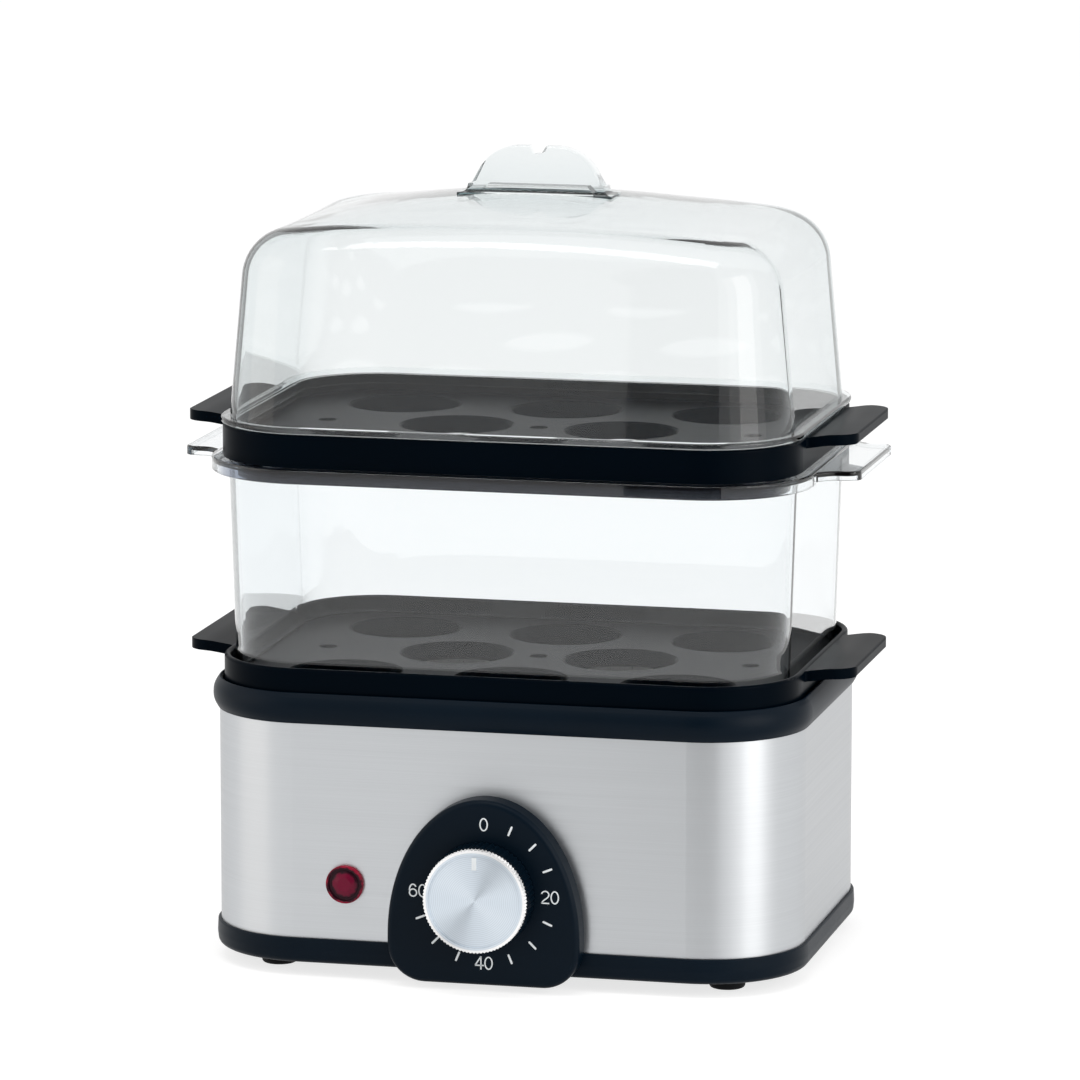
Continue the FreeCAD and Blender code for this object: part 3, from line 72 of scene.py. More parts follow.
class NodeGraph:
    """A node tree, with short calls to add and join nodes."""

    def __init__(self, owner: bpy.types.Material | bpy.types.World,
                 output: str = "OutputMaterial") -> None:
        """Start an empty tree with an output.

        Args:
            owner: the material or world that the tree belongs to.
            output: the output node's type, without the ShaderNode prefix.
        """
        owner.use_nodes = True
        self.owner = owner
        self.tree = owner.node_tree
        self.tree.nodes.clear()
        self.output = self.add(output)

    def add(self, kind: str, **values: object) -> bpy.types.Node:
        """Add a node and set what it is given.

        Args:
            kind: the node's type, without the ShaderNode prefix.
            values: sockets by name (underscores for spaces), or properties of the node.

        Returns:
            The new node.
        """
        node = self.tree.nodes.new("ShaderNode" + kind)
        for key, value in values.items():
            if hasattr(node, key):
                setattr(node, key, value)
            else:
                self.feed(value, node.inputs[key.replace("_", " ")])
        return node

    def feed(self, value: object, socket: bpy.types.NodeSocket) -> None:
        """Join an output to an input, or set the input to a plain value."""
        if isinstance(value, bpy.types.NodeSocket):
            self.tree.links.new(value, socket)
        else:
            socket.default_value = value

    def surface(self, source: bpy.types.NodeSocket) -> None:
        """Join a shader to the output."""
        self.feed(source, self.output.inputs["Surface"])

    def math(self, operation: str, first: bpy.types.NodeSocket,
             second: bpy.types.NodeSocket | float = 0.0) -> bpy.types.NodeSocket:
        """Work out a number.

        Args:
            operation: the Math node's operation.
            first: the first value.
            second: the second value, where the operation takes one.

        Returns:
            The result.
        """
        node = self.add("Math", operation=operation)
        self.feed(first, node.inputs[0])
        self.feed(second, node.inputs[1])
        return node.outputs[0]

    def object_coordinates(self, scale: Sequence[float],
                           centre: Sequence[float] = (0, 0, 0)) -> bpy.types.NodeSocket:
        """Object coordinates, scaled about a centre.

        Args:
            scale: factor on each axis.
            centre: the point, in metres, that becomes the pattern's origin.

        Returns:
            The mapped vector.
        """
        place = self.add("TexCoord").outputs["Object"]
        shift = [-factor * middle for factor, middle in zip(scale, centre)]
        mapping = self.add("Mapping", Vector=place, Location=shift, Scale=list(scale))
        return mapping.outputs["Vector"]

    def noise(self, scale: Sequence[float], detail: float = 2.0) -> bpy.types.NodeSocket:
        """Noise between 0 and 1, with features per metre on each axis."""
        vector = self.object_coordinates(scale)
        return self.add("TexNoise", Vector=vector, Scale=1.0, Detail=detail).outputs["Fac"]

    def remap(self, value: bpy.types.NodeSocket, low: float, high: float,
              from_low: float = 0.3, from_high: float = 0.7) -> bpy.types.NodeSocket:
        """Carry a value from one range to another, without going past its ends.

        Args:
            value: the value.
            low: what from_low becomes.
            high: what from_high becomes.
            from_low: the first end of the value's own range, by default that of most noise.
            from_high: the other end of that range.

        Returns:
            The value in its new range.
        """
        return self.add("MapRange", clamp=True, Value=value, From_Min=from_low,
                        From_Max=from_high, To_Min=low, To_Max=high).outputs["Result"]

    def blend(self, factor: bpy.types.NodeSocket, first: Colour | bpy.types.NodeSocket,
              second: Colour) -> bpy.types.NodeSocket:
        """Mix two colours by a factor, where 0 gives the first."""
        node = self.add("Mix", data_type="RGBA")
        colours = [socket for socket in node.inputs if socket.type == "RGBA"]
        self.feed(factor, node.inputs[0])
        self.feed(first, colours[0])
        self.feed(second, colours[1])
        return next(socket for socket in node.outputs if socket.type == "RGBA")

    def reach(self, centre: Sequence[float], axes: Sequence[float]) -> bpy.types.NodeSocket:
        """Distance from a point, measured on some axes only.

        Args:
            centre: the point, in metres.
            axes: 1 for the axes that the distance is measured on, and 0 for the others.

        Returns:
            The distance in metres.
        """
        node = self.add("VectorMath", operation="LENGTH")
        self.feed(self.object_coordinates(axes, centre), node.inputs[0])
        return node.outputs["Value"]

    def radius_in(self, box: tuple[Vector, Vector]) -> bpy.types.NodeSocket:
        """Distance from the axis of a round piece that faces the front.

        Args:
            box: the piece's lowest and highest corners.

        Returns:
            The distance in metres.
        """
        low, high = box
        return self.reach(((low.x + high.x) / 2, 0.0, (low.z + high.z) / 2), (1, 0, 1))

    def ramp(self, value: bpy.types.NodeSocket,
             stops: Sequence[tuple[float, Colour]]) -> bpy.types.NodeSocket:
        """Colour by a value, easing between the stops.

        Args:
            value: the value, between 0 and 1.
            stops: places and their colours, in order.

        Returns:
            The colour.
        """
        node = self.add("ValToRGB", Fac=value)
        node.color_ramp.interpolation = "EASE"
        points = node.color_ramp.elements
        while len(points) < len(stops):
            points.new(1.0)
        for point, (place, colour) in zip(points, stops):
            point.position = place
            point.color = colour
        return node.outputs["Color"]

    def bump(self, height: bpy.types.NodeSocket, strength: float,
             depth: float) -> bpy.types.NodeSocket:
        """Normal bent by a height, where the depth is in metres."""
        return self.add("Bump", Height=height, Strength=strength,
                        Distance=depth).outputs["Normal"]

    def tangent_about(self, axis: str) -> bpy.types.NodeSocket:
        """Direction that runs round an axis."""
        return self.add("Tangent", direction_type="RADIAL", axis=axis).outputs["Tangent"]

    def shade(self, **values: object) -> bpy.types.Material:
        """Finish the material with the Principled shader, and return it."""
        self.surface(self.add("BsdfPrincipled", **values).outputs["BSDF"])
        return self.owner


def new_finish(name: str) -> NodeGraph:
    """Empty tree of a new material of that name."""
    return NodeGraph(bpy.data.materials.new(name))


# --- finishes -----------------------------------------------------------------------
class Finish(Protocol):
    """A finish that knows its name and builds its own material."""

    name: str

    def build(self) -> bpy.types.Material:
        """Build the material."""


@dataclass(frozen=True)
class BrushedSteel:
    """Sheet steel brushed along the body, so that its highlights stretch up and down."""

    name: str = "brushed_steel"
    level: float = 0.55
    warmth: float = -0.03
    roughness: float = 0.34
    roughness_drift: float = 0.08
    anisotropy: float = 0.75
    contrast: float = 0.035
    edge: float = 0.8
    lines: tuple[float, float, float] = (14, 14, 5200)
    long_lines: tuple[float, float, float] = (5, 5, 1300)
    relief: float = 0.06
    relief_depth: float = 0.02 * MM

    def build(self) -> bpy.types.Material:
        """Fine level lines in colour, roughness and relief."""
        graph = new_finish(self.name)
        lines = graph.noise(self.lines, 4)
        dark = grey(self.level * (1 - self.contrast), self.warmth)
        light = grey(self.level * (1 + self.contrast), self.warmth)
        rough = graph.remap(graph.noise(self.long_lines),
                            self.roughness * (1 - self.roughness_drift),
                            self.roughness * (1 + self.roughness_drift))
        return graph.shade(Base_Color=graph.blend(graph.remap(lines, 0, 1), dark, light),
                           Metallic=1.0, Roughness=rough, Anisotropic=self.anisotropy,
                           Anisotropic_Rotation=QUARTER_TURN, Tangent=graph.tangent_about("Z"),
                           Specular_Tint=grey(self.edge),
                           Normal=graph.bump(lines, self.relief, self.relief_depth))


@dataclass(frozen=True)
class MouldedPlastic:
    """Opaque moulded plastic or rubber with a faint grain."""

    name: str
    colour: Colour
    roughness: float = 0.4
    specular: float = 0.35
    grain: float = 2600.0
    relief: float = 0.015
    relief_depth: float = 0.02 * MM
    drift: float = 22.0
    tone_drift: float = 0.1
    roughness_drift: float = 0.06

    def build(self) -> bpy.types.Material:
        """Fine grain in relief, and a slow drift in colour and gloss."""
        graph = new_finish(self.name)
        grain = graph.noise((self.grain,) * 3)
        drift = graph.noise((self.drift,) * 3)
        colour = graph.blend(graph.remap(drift, 0, 1), toned(self.colour, 1 - self.tone_drift),
                             toned(self.colour, 1 + self.tone_drift))
        rough = graph.remap(drift, self.roughness * (1 - self.roughness_drift),
                            self.roughness * (1 + self.roughness_drift))
        return graph.shade(Base_Color=colour, Roughness=rough, Specular_IOR_Level=self.specular,
                           Normal=graph.bump(grain, self.relief, self.relief_depth))


@dataclass(frozen=True)
class PlainMetal:
    """Pressed, cast or plated metal with fine wear."""

    name: str
    colour: Colour
    roughness: float = 0.3
    grain: float = 900.0
    relief: float = 0.1
    relief_depth: float = 0.03 * MM
    darkest: float = 0.9
    smoothest: float = 0.85
    roughest: float = 1.2

    def build(self) -> bpy.types.Material:
        """Mottled roughness over a slightly uneven colour."""
        graph = new_finish(self.name)
        mottle = graph.noise((self.grain,) * 3, 4)
        colour = graph.blend(graph.remap(mottle, 0, 1), toned(self.colour, self.darkest),
                             self.colour)
        rough = graph.remap(mottle, self.roughness * self.smoothest,
                            self.roughness * self.roughest)
        return graph.shade(Base_Color=colour, Metallic=1.0, Roughness=rough,
                           Normal=graph.bump(mottle, self.relief, self.relief_depth))


@dataclass(frozen=True)
class SpunAluminium:
    """Turned aluminium: fine rings about the knob's axis, inside a cut rim whose brighter colour
    is a painted highlight.
    """

    name: str = "knob_aluminium"
    level: float = 0.8
    # painted highlight: the rim's colour, brighter than the face's
    painted_rim_highlight: float = 0.97
    rim_radius: float = 15.5 * MM
    rim_blur: float = 0.01
    warmth: float = -0.09
    roughness: float = 0.48
    anisotropy: float = 0.85
    pitch: float = 0.6 * MM
    groove: float = 0.86
    relief: float = 0.2
    relief_depth: float = 0.03 * MM

    def build(self) -> bpy.types.Material:
        """Rings at the tool's pitch: the sine of the distance to the knob's axis; beyond the rim's
        radius, a painted highlight.
        """
        graph = new_finish(self.name)
        reach = graph.radius_in(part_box("knob_cap"))
        wave = graph.math("SINE", graph.math("MULTIPLY", reach, 2 * math.pi / self.pitch))
        rings = graph.remap(wave, 0, 1, -1, 1)
        face = graph.blend(rings, grey(self.level * self.groove, self.warmth),
                           grey(self.level, self.warmth))
        # painted highlight on the cut rim, by the distance from the knob's axis
        rim = graph.remap(reach, 0, 1, self.rim_radius * (1 - self.rim_blur),
                          self.rim_radius * (1 + self.rim_blur))
        return graph.shade(Base_Color=graph.blend(rim, face, grey(self.painted_rim_highlight)), Metallic=1.0,
                           Roughness=self.roughness, Anisotropic=self.anisotropy,
                           Anisotropic_Rotation=QUARTER_TURN, Tangent=graph.tangent_about("Y"),
                           Normal=graph.bump(rings, self.relief, self.relief_depth))


@dataclass(frozen=True)
class ClearPlastic:
    """Clear moulded plastic, polished, that turns blue-grey where it is thick.

    The ring's flange has a painted refraction along its front and back: a dark colour standing for
    the black tray seen through it.
    """

    name: str = "clear_plastic"
    colour: Colour = (0.985, 0.99, 0.99, 1.0)
    tint: Colour = (0.07, 0.27, 0.38, 1.0)
    density: float = 38.0
    ior: float = 1.25
    coat: float = 0.7
    coat_roughness: float = 0.02
    coat_ior: float = 1.45
    # painted refraction: dark colour standing for the black tray seen through the ring's flange
    flange: Colour = (0.34, 0.37, 0.44, 1.0)
    flange_half: float = 2.3 * MM
    flange_fade: float = 1.25
    flange_start: float = 53.0 * MM
    flange_end: float = 59.36 * MM
    flow: tuple[float, float, float] = (16, 16, 9)
    relief: float = 0.03
    relief_depth: float = 0.6 * MM

    def build(self) -> bpy.types.Material:
        """Clear plastic with faint flow marks; its depth soaks up light per metre.

        The polish is a coat, so that the body can bend light less than solid plastic would. A
        thin even wall shows hardly any bending, and a strong one would darken the shoulders.
        """
        graph = new_finish(self.name)
        flow = graph.noise(self.flow)
        depth = graph.add("VolumeAbsorption", Color=self.tint, Density=self.density)
        graph.feed(depth.outputs["Volume"], graph.output.inputs["Volume"])
        # the flange colour is a painted refraction of the black tray
        return graph.shade(Base_Color=graph.blend(self.painted_refraction_share(graph), self.colour, self.flange),
                           Roughness=0.0, IOR=self.ior, Transmission_Weight=1.0,
                           Coat_Weight=self.coat, Coat_Roughness=self.coat_roughness,
                           Coat_IOR=self.coat_ior,
                           Normal=graph.bump(flow, self.relief, self.relief_depth))

    def painted_refraction_share(self, graph: NodeGraph) -> bpy.types.NodeSocket:
        """Share of the painted refraction of the black tray: 1 on the ring's flange along the
        front and back, and 0 away from it.
        """
        low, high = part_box("steam_ring")
        height = graph.reach((0, 0, high.z - self.flange_half), (0, 0, 1))
        depth = graph.reach((0, (low.y + high.y) / 2, 0), (0, 1, 0))
        return graph.math(
            "MULTIPLY",
            graph.remap(height, 1, 0, self.flange_half, self.flange_half * self.flange_fade),
            graph.remap(depth, 0, 1, self.flange_start, self.flange_end))


@dataclass(frozen=True)
class LampLens:
    """Translucent red lens whose colour is painted light and painted reflection: a bright middle
    and rim round a dark ring.
    """

    name: str = "lens_red"
    # painted light and reflection: bright middle and rim, with a dark ring between them
    middle: Colour = (0.15, 0.0038, 0.026, 1.0)
    ring: Colour = (0.028, 0.004, 0.011, 1.0)
    rim: Colour = (0.3, 0.006, 0.03, 1.0)
    middle_end: float = 0.5
    ring_span: Pair = (0.64, 0.8)
    rim_start: float = 0.93
    radius: float = 6.6 * MM
    cloud: float = 500.0
    cloud_shift: float = 0.4 * MM
    roughness: float = 0.22
    specular: float = 0.14

    def build(self) -> bpy.types.Material:
        """Painted light and reflection, by the distance from the lens's axis, with a faint
        cloudiness.
        """
        graph = new_finish(self.name)
        cloud = graph.remap(graph.noise((self.cloud,) * 3), -self.cloud_shift, self.cloud_shift)
        reach = graph.math("ADD", graph.radius_in(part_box("lamp_lens")), cloud)
        # painted light and reflection laid out in rings round the lens's axis
        colour = graph.ramp(graph.remap(reach, 0, 1, 0, self.radius),
                            ((0.0, self.middle), (self.middle_end, self.middle),
                             (self.ring_span[0], self.ring), (self.ring_span[1], self.ring),
                             (self.rim_start, self.rim)))
        return graph.shade(Base_Color=colour, Roughness=self.roughness,
                           Specular_IOR_Level=self.specular)


HOUSING_BLACK = (0.0008, 0.0052, 0.0112, 1.0)
TRAY_BLACK = (0.0002, 0.0021, 0.0047, 1.0)
KNOB_BLACK = (0.0010, 0.0052, 0.0108, 1.0)
RUBBER_BLACK = (0.006, 0.0065, 0.0075, 1.0)
PRINT_WHITE = (0.8, 0.84, 0.86, 1.0)
LID_TINT = (0.09, 0.27, 0.3, 1.0)

FINISHES: dict[str, Finish] = {finish.name: finish for finish in (
    BrushedSteel(),
    MouldedPlastic("black_plastic", HOUSING_BLACK, roughness=0.4, specular=0.085),
    MouldedPlastic("tray_plastic", TRAY_BLACK, roughness=0.33, specular=0.02),
    ClearPlastic(),
    ClearPlastic("lid_plastic", tint=LID_TINT, density=33.0, ior=1.06, coat=0.8),
    MouldedPlastic("black_rubber", RUBBER_BLACK, roughness=0.6, specular=0.12, grain=1800.0,
                   relief=0.1),
    PlainMetal("zinc_steel", grey(0.62), roughness=0.3),
    PlainMetal("dish_steel", grey(0.6, 0.01), roughness=0.3, grain=1600.0, relief=0.03),
    MouldedPlastic("grey_silicone", grey(0.22), roughness=0.55),
    PlainMetal("cast_aluminium", grey(0.55), roughness=0.45, grain=600.0),
    PlainMetal("element_steel", grey(0.2, 0.05), roughness=0.5, grain=400.0),
    MouldedPlastic("phenolic_black", grey(0.02), roughness=0.45),
    MouldedPlastic("sleeve_white", grey(0.7, 0.03), roughness=0.6),
    MouldedPlastic("timer_nylon", grey(0.62, 0.05), roughness=0.5),
    PlainMetal("bell_chrome", grey(0.7), roughness=0.12),
    MouldedPlastic("knob_black", KNOB_BLACK, roughness=0.36, specular=0.12),
    SpunAluminium(),
    MouldedPlastic("print_white", PRINT_WHITE, roughness=0.5, specular=0.2),
    LampLens(),
)}


class Paintbox:
    """Gives every piece its finish, building each finish once."""

    def __init__(self) -> None:
        """Read each node's slot from the record."""
        self.slots = {row["node"]: row["material_slot"] for row in frame["record"]["subparts"]}
        self.built: dict[str, bpy.types.Material] = {}

    def dress(self, piece: bpy.types.Object, finish: str) -> None:
        """Give a piece the finish of that name."""
        if finish not in self.built:
            self.built[finish] = FINISHES[finish].build()
        piece.data.materials.clear()
        piece.data.materials.append(self.built[finish])

    def dress_node(self, name: str, finish: str | None = None) -> None:
        """Dress a CAD piece in a finish, or in its own slot's where none is given."""
        finish = finish or self.slots[name]
        self.dress(frame["nodes"][name], finish)
        LOG.info("dressed %s as %s", name, finish)


# --- meshes -------------------------------------------------------------------------
def place(name: str, data: bpy.types.ID) -> bpy.types.Object:
    """Put a mesh, lamp or camera in the scene under that name."""
    thing = bpy.data.objects.new(name, data)
    bpy.context.scene.collection.objects.link(thing)
    return thing


def mesh_object(name: str, points: np.ndarray, faces: np.ndarray) -> bpy.types.Object:
    """Put a surface in the scene, with its faces turned outwards.

    Args:
        name: the piece's name.
        points: its points in metres, one per row.
        faces: the numbers of each four-cornered face's points, one face per row.

    Returns:
        The new object.
    """
    mesh = bpy.data.meshes.new(name)
    mesh.from_pydata(points.tolist(), [], faces.tolist())
    mesh.validate()
    shell = bmesh.new()
    shell.from_mesh(mesh)
    bmesh.ops.recalc_face_normals(shell, faces=shell.faces)
    shell.to_mesh(mesh)
    shell.free()
    mesh.update()
    return place(name, mesh)


def faces_between(rings: int, places: int, closed: bool = False) -> np.ndarray:
    """Four-cornered faces between neighbouring rings of points.

    Each face joins two neighbours in one ring to the same two in the next ring.

    Args:
        rings: how many rings there are.
        places: how many points a ring has.
        closed: whether the last ring also meets the first.

    Returns:
        The numbers of each face's points, counted ring by ring.
    """
    ring = np.arange(rings if closed else rings - 1)[:, None]
    here = np.arange(places)[None]
    after, beside = (ring + 1) % rings, (here + 1) % places
    return np.stack((ring * places + here, ring * places + beside,
                     after * places + beside, after * places + here), -1).reshape(-1, 4)


# --- sub-assemblies -----------------------------------------------------------------
@dataclass
class SubAssembly:
    """Pieces that are made and dressed together.

    Its finishes name the nodes whose finish isn't that of their slot.
    """

    nodes: ClassVar[tuple[str, ...]] = ()
    finishes: ClassVar[dict[str, str]] = {}

    def build(self, paint: Paintbox) -> None:
        """Dress the CAD pieces, and add what they don't have."""
        for name in self.nodes:
            paint.dress_node(name, self.finishes.get(name))
        self.add_pieces(paint)

    def add_pieces(self, paint: Paintbox) -> None:
        """Add what the CAD pieces don't have."""


class Housing(SubAssembly):
    """Steel shell between the pan and the collar, on four feet."""

    nodes = ("bottom_pan", "steel_shell", "top_collar", "rubber_feet", "base_screws",
             "cord_gland")


class Heater(SubAssembly):
    """Water dish with the element, its clamp and its cut-outs."""

    nodes = ("heating_plate", "plate_seal", "element_disc", "heating_element", "clamp_strap",
             "strap_screws", "thermostat", "thermal_fuse", "terminal_block")


class Numeral(Enum):
    """What stands at each quarter of the dial, from the top and clockwise."""

    OFF = "0"
    FIRST = "20"
    SECOND = "40"
    THIRD = "60"

    @property
    def turn(self) -> float:
        """Clockwise angle from the top, in degrees."""
        return 90.0 * list(Numeral).index(self)


@dataclass(frozen=True)
class DigitShape:
    """Middle lines of plain digits' strokes, each about its digit's middle.

    Places are shares of the digit's half width and half height. A bowl is an arc of an ellipse
    as wide as the digit: across, the half width times the cosine of the angle, and up, a share
    of the half height times its sine. The leg of the 2 is a cubic Bezier curve.
    """

    half: Pair
    bowl_points: int = 36
    leg_points: int = 16
    whole: Pair = (0.0, 350.0)
    two_bowl: float = 0.56
    two_arc: Pair = (168.0, -28.0)
    two_pull: Pair = (-0.22, -0.34)
    two_push: Pair = (0.3, 0.5)
    two_foot: tuple[Pair, Pair] = ((-1.1, -1.0), (1.1, -1.0))
    four_slope: tuple[Pair, Pair] = ((0.42, 1.0), (-1.05, -0.38))
    four_bar: tuple[Pair, Pair] = ((-1.15, -0.42), (1.3, -0.42))
    four_stem: tuple[Pair, Pair] = ((0.5, 1.1), (0.5, -1.12))
    six_bowl: float = 0.6
    six_stem: Pair = (38.0, 184.0)

    def bowl(self, span: Pair, share: float = 1.0) -> np.ndarray:
        """Arc between two angles in degrees, with its ellipse's middle at height 0."""
        angle = np.radians(np.linspace(*span, self.bowl_points))
        return np.stack((np.cos(angle), share * np.sin(angle)), -1) * self.half

    def line(self, corners: Sequence[Pair]) -> Stroke:
        """Straight stroke."""
        return np.array(corners) * self.half, False

    def raised(self, height: float) -> np.ndarray:
        """Shift upwards by a share of the half height."""
        return np.array((0.0, height)) * self.half

    def nought(self) -> list[Stroke]:
        """One closed bowl."""
        return [(self.bowl(self.whole), True)]

    def two(self) -> list[Stroke]:
        """Arc whose curved leg runs down to a straight foot."""
        arc = self.bowl(self.two_arc, self.two_bowl) + self.raised(1 - self.two_bowl)
        half = np.array(self.half)
        start, end = arc[-1], -half
        pull, push = start + half * self.two_pull, end + half * self.two_push
        along = np.linspace(0, 1, self.leg_points)[1:, None]
        leg = ((1 - along) ** 3 * start + 3 * (1 - along) ** 2 * along * pull
               + 3 * (1 - along) * along ** 2 * push + along ** 3 * end)
        return [(np.concatenate((arc, leg)), False), self.line(self.two_foot)]

    def four(self) -> list[Stroke]:
        """Three straight strokes."""
        return [self.line(self.four_slope), self.line(self.four_bar), self.line(self.four_stem)]

    def six(self) -> list[Stroke]:
        """Closed bowl at the bottom under a tall open one."""
        bowl = self.bowl(self.whole, self.six_bowl) + self.raised(self.six_bowl - 1)
        return [(bowl, True), (self.bowl(self.six_stem), False)]

    def strokes(self, digit: str) -> list[Stroke]:
        """Strokes of a digit.

        Args:
            digit: 0, 2, 4 or 6.

        Returns:
            Each stroke's points across and up in metres, and whether it closes.
        """
        return {"0": self.nought, "2": self.two, "4": self.four, "6": self.six}[digit]()


@dataclass
class TimerPanel(SubAssembly):
    """Black panel with the clockwork timer behind it and the dial's print on it.

    A tick's profile gives its rings from the middle of the back, over the back's edge and the
    front's edge, to the middle of the front: each ring's size as a share of the tick's, and its
    height as a share of the print's depth.
    """

    nodes = ("control_panel", "timer_case", "timer_bell", "timer_screws")
    dial_z: float = 31.4 * MM
    dial_shift: Pair = (0.55 * MM, 0.25 * MM)
    numeral_reach: Pair = (21.3 * MM, 22.15 * MM)
    numeral_height: float = 4.25 * MM
    digit_width: float = 2.75 * MM
    digit_step: float = 3.05 * MM
    stroke: float = 0.43 * MM
    tick_reach: Pair = (22.15 * MM, 22.15 * MM)
    tick_length: float = 3.3 * MM
    tick_width: float = 0.68 * MM
    tick_points: int = 24
    tick_power: int = 6
    tick_profile: tuple[Pair, ...] = ((0.02, -0.5), (1.0, -0.5), (1.0, 0.35), (0.93, 0.5),
                                      (0.02, 0.5))
    steps_per_quarter: int = 4
    print_depth: float = 0.06 * MM

    def add_pieces(self, paint: Paintbox) -> None:
        """Print the numerals and the ticks on the panel's face, and fix them to the base."""
        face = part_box("control_panel")[0].y
        for piece in (*(self.numeral(numeral, face) for numeral in Numeral), self.ticks(face)):
            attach(piece, "base")
            paint.dress(piece, "print_white")
            LOG.info("printed %s", piece.name)

    def on_dial(self, turn: float | np.ndarray, reach: tuple) -> tuple:
        """Place on the dial: its middle, plus the reach times the angle's sine and cosine.

        Args:
            turn: clockwise angle from the top, in degrees.
            reach: how far the place is from the middle, for its x and for its z.

        Returns:
            Its x and z.
        """
        angle = np.radians(turn)
        return (self.dial_shift[0] + reach[0] * np.sin(angle),
                self.dial_z + self.dial_shift[1] + reach[1] * np.cos(angle))

    def numeral(self, numeral: Numeral, face: float) -> bpy.types.Object:
        """Upright number on the panel's face.

        Args:
            numeral: which number.
            face: y of the panel's face.

        Returns:
            The number as a mesh.
        """
        x, z = self.on_dial(numeral.turn, self.numeral_reach)
        shape = DigitShape(((self.digit_width - self.stroke) / 2,
                            (self.numeral_height - self.stroke) / 2))
        first = -(len(numeral.value) - 1) / 2
        points: list[np.ndarray] = []
        faces: list[np.ndarray] = []
        for order, digit in enumerate(numeral.value):
            middle = (x + (first + order) * self.digit_step, z)
            for path, closed in shape.strokes(digit):
                ribbon, quads = self.ribbon(path + middle, closed, face)
                faces.append(quads + sum(len(part) for part in points))
                points.append(ribbon)
        return mesh_object("dial_number_" + numeral.value, np.concatenate(points),
                           np.concatenate(faces))

    def ribbon(self, path: np.ndarray, closed: bool,
               face: float) -> tuple[np.ndarray, np.ndarray]:
        """Raised stroke: four edges, half the stroke's width to each side of the middle line.

        Args:
            path: the middle line's points, across and up.
            closed: whether the line's end meets its start.
            face: y of the panel's face.

        Returns:
            Its points and its four-cornered faces.
        """
        ahead, behind = np.roll(path, -1, 0), np.roll(path, 1, 0)
        if not closed:
            ahead[-1], behind[0] = path[-1], path[0]
        run = ahead - behind
        run /= np.linalg.norm(run, axis=1, keepdims=True)
        side = np.stack((-run[:, 1], run[:, 0]), -1) * self.stroke / 2
        back, front = face + self.print_depth / 2, face - self.print_depth / 2
        edges = []
        for sign, y in ((1, back), (1, front), (-1, front), (-1, back)):
            flat = path + sign * side
            edges.append(np.stack((flat[:, 0], np.full(len(path), y), flat[:, 1]), -1))
        quads = faces_between(len(path), len(edges), closed)
        if not closed:
            cap = np.arange(len(edges))
            quads = np.concatenate((quads, [cap[::-1], cap + len(edges) * (len(path) - 1)]))
        return np.stack(edges, 1).reshape(-1, 3), quads

    def ticks(self, face: float) -> bpy.types.Object:
        """Ticks between the numbers, from the top to the last one.

        Each is a rounded bar whose outline is a superellipse: half a side times the cosine and
        the sine of the angle, each to the power of 2 over the tick's power, with its sign kept.

        Args:
            face: y of the panel's face.

        Returns:
            All the ticks as one mesh.
        """
        steps = np.arange(1, (len(Numeral) - 1) * self.steps_per_quarter)
        turns = 90.0 * steps[steps % self.steps_per_quarter > 0] / self.steps_per_quarter
        around = np.linspace(0, 2 * math.pi, self.tick_points, endpoint=False)
        outline = np.stack((np.cos(around), np.sin(around)))
        side, end = np.sign(outline) * np.abs(outline) ** (2 / self.tick_power)
        size, height = np.array(self.tick_profile).T[:, :, None]
        across = size * side * self.tick_width / 2
        along = size * end * self.tick_length / 2
        turn = turns[:, None, None]
        x, z = self.on_dial(turn, [reach + along for reach in self.tick_reach])
        x, z = x + across * np.cos(np.radians(turn)), z - across * np.sin(np.radians(turn))
        y = np.broadcast_to(face - height * self.print_depth, x.shape)
        quads = faces_between(len(self.tick_profile), self.tick_points)
        first = np.arange(len(turns))[:, None, None] * len(self.tick_profile) * self.tick_points
        return mesh_object("dial_ticks", np.stack((x, y, z), -1).reshape(-1, 3),
                           (quads + first).reshape(-1, 4))


class TimerKnob(SubAssembly):
    """Fluted knob with its spun cap, turning on the timer's shaft."""

    nodes = ("timer_shaft", "knob_body", "knob_cap", "knob_pointer")


class IndicatorLamp(SubAssembly):
    """Red lamp, held by its clip."""

    nodes = ("lamp_lens", "lamp_body", "lamp_clip")


class Trays(SubAssembly):
    """The two egg trays, in a blacker and less shiny plastic than the housing."""

    nodes = ("lower_tray", "upper_tray")
    finishes = {"lower_tray": "tray_plastic", "upper_tray": "tray_plastic"}


class ClearCovers(SubAssembly):
    """Clear ring round the eggs, and the clear lid, which hardly bends what is behind it."""

    nodes = ("steam_ring", "lid")
    finishes = {"lid": "lid_plastic"}


# --- studio -------------------------------------------------------------------------
def outward(azimuth: float, elevation: float) -> Vector:
    """Direction from the object.

    Args:
        azimuth: degrees to the right of straight ahead of the panel.
        elevation: degrees above the horizon.

    Returns:
        The unit direction.
    """
    turn, rise = math.radians(azimuth), math.radians(elevation)
    return Vector((math.sin(turn) * math.cos(rise), -math.cos(turn) * math.cos(rise),
                   math.sin(rise)))


def face_target(thing: bpy.types.Object, target: Vector, out: Vector, distance: float) -> None:
    """Put a lamp or the camera that far out from the target, looking at it."""
    thing.location = target + out * distance
    thing.rotation_euler = (-out).to_track_quat("-Z", "Y").to_euler()


def flat_panel(name: str, corners: Sequence[Sequence[float]],
               graph: NodeGraph) -> bpy.types.Object:
    """Put up a flat panel.

    Args:
        name: the panel's name.
        corners: its four corners in order, in metres.
        graph: the node tree of its material.

    Returns:
        The panel.
    """
    mesh = bpy.data.meshes.new(name)
    mesh.from_pydata(corners, [], [(0, 1, 2, 3)])
    mesh.materials.append(graph.owner)
    return place(name, mesh)


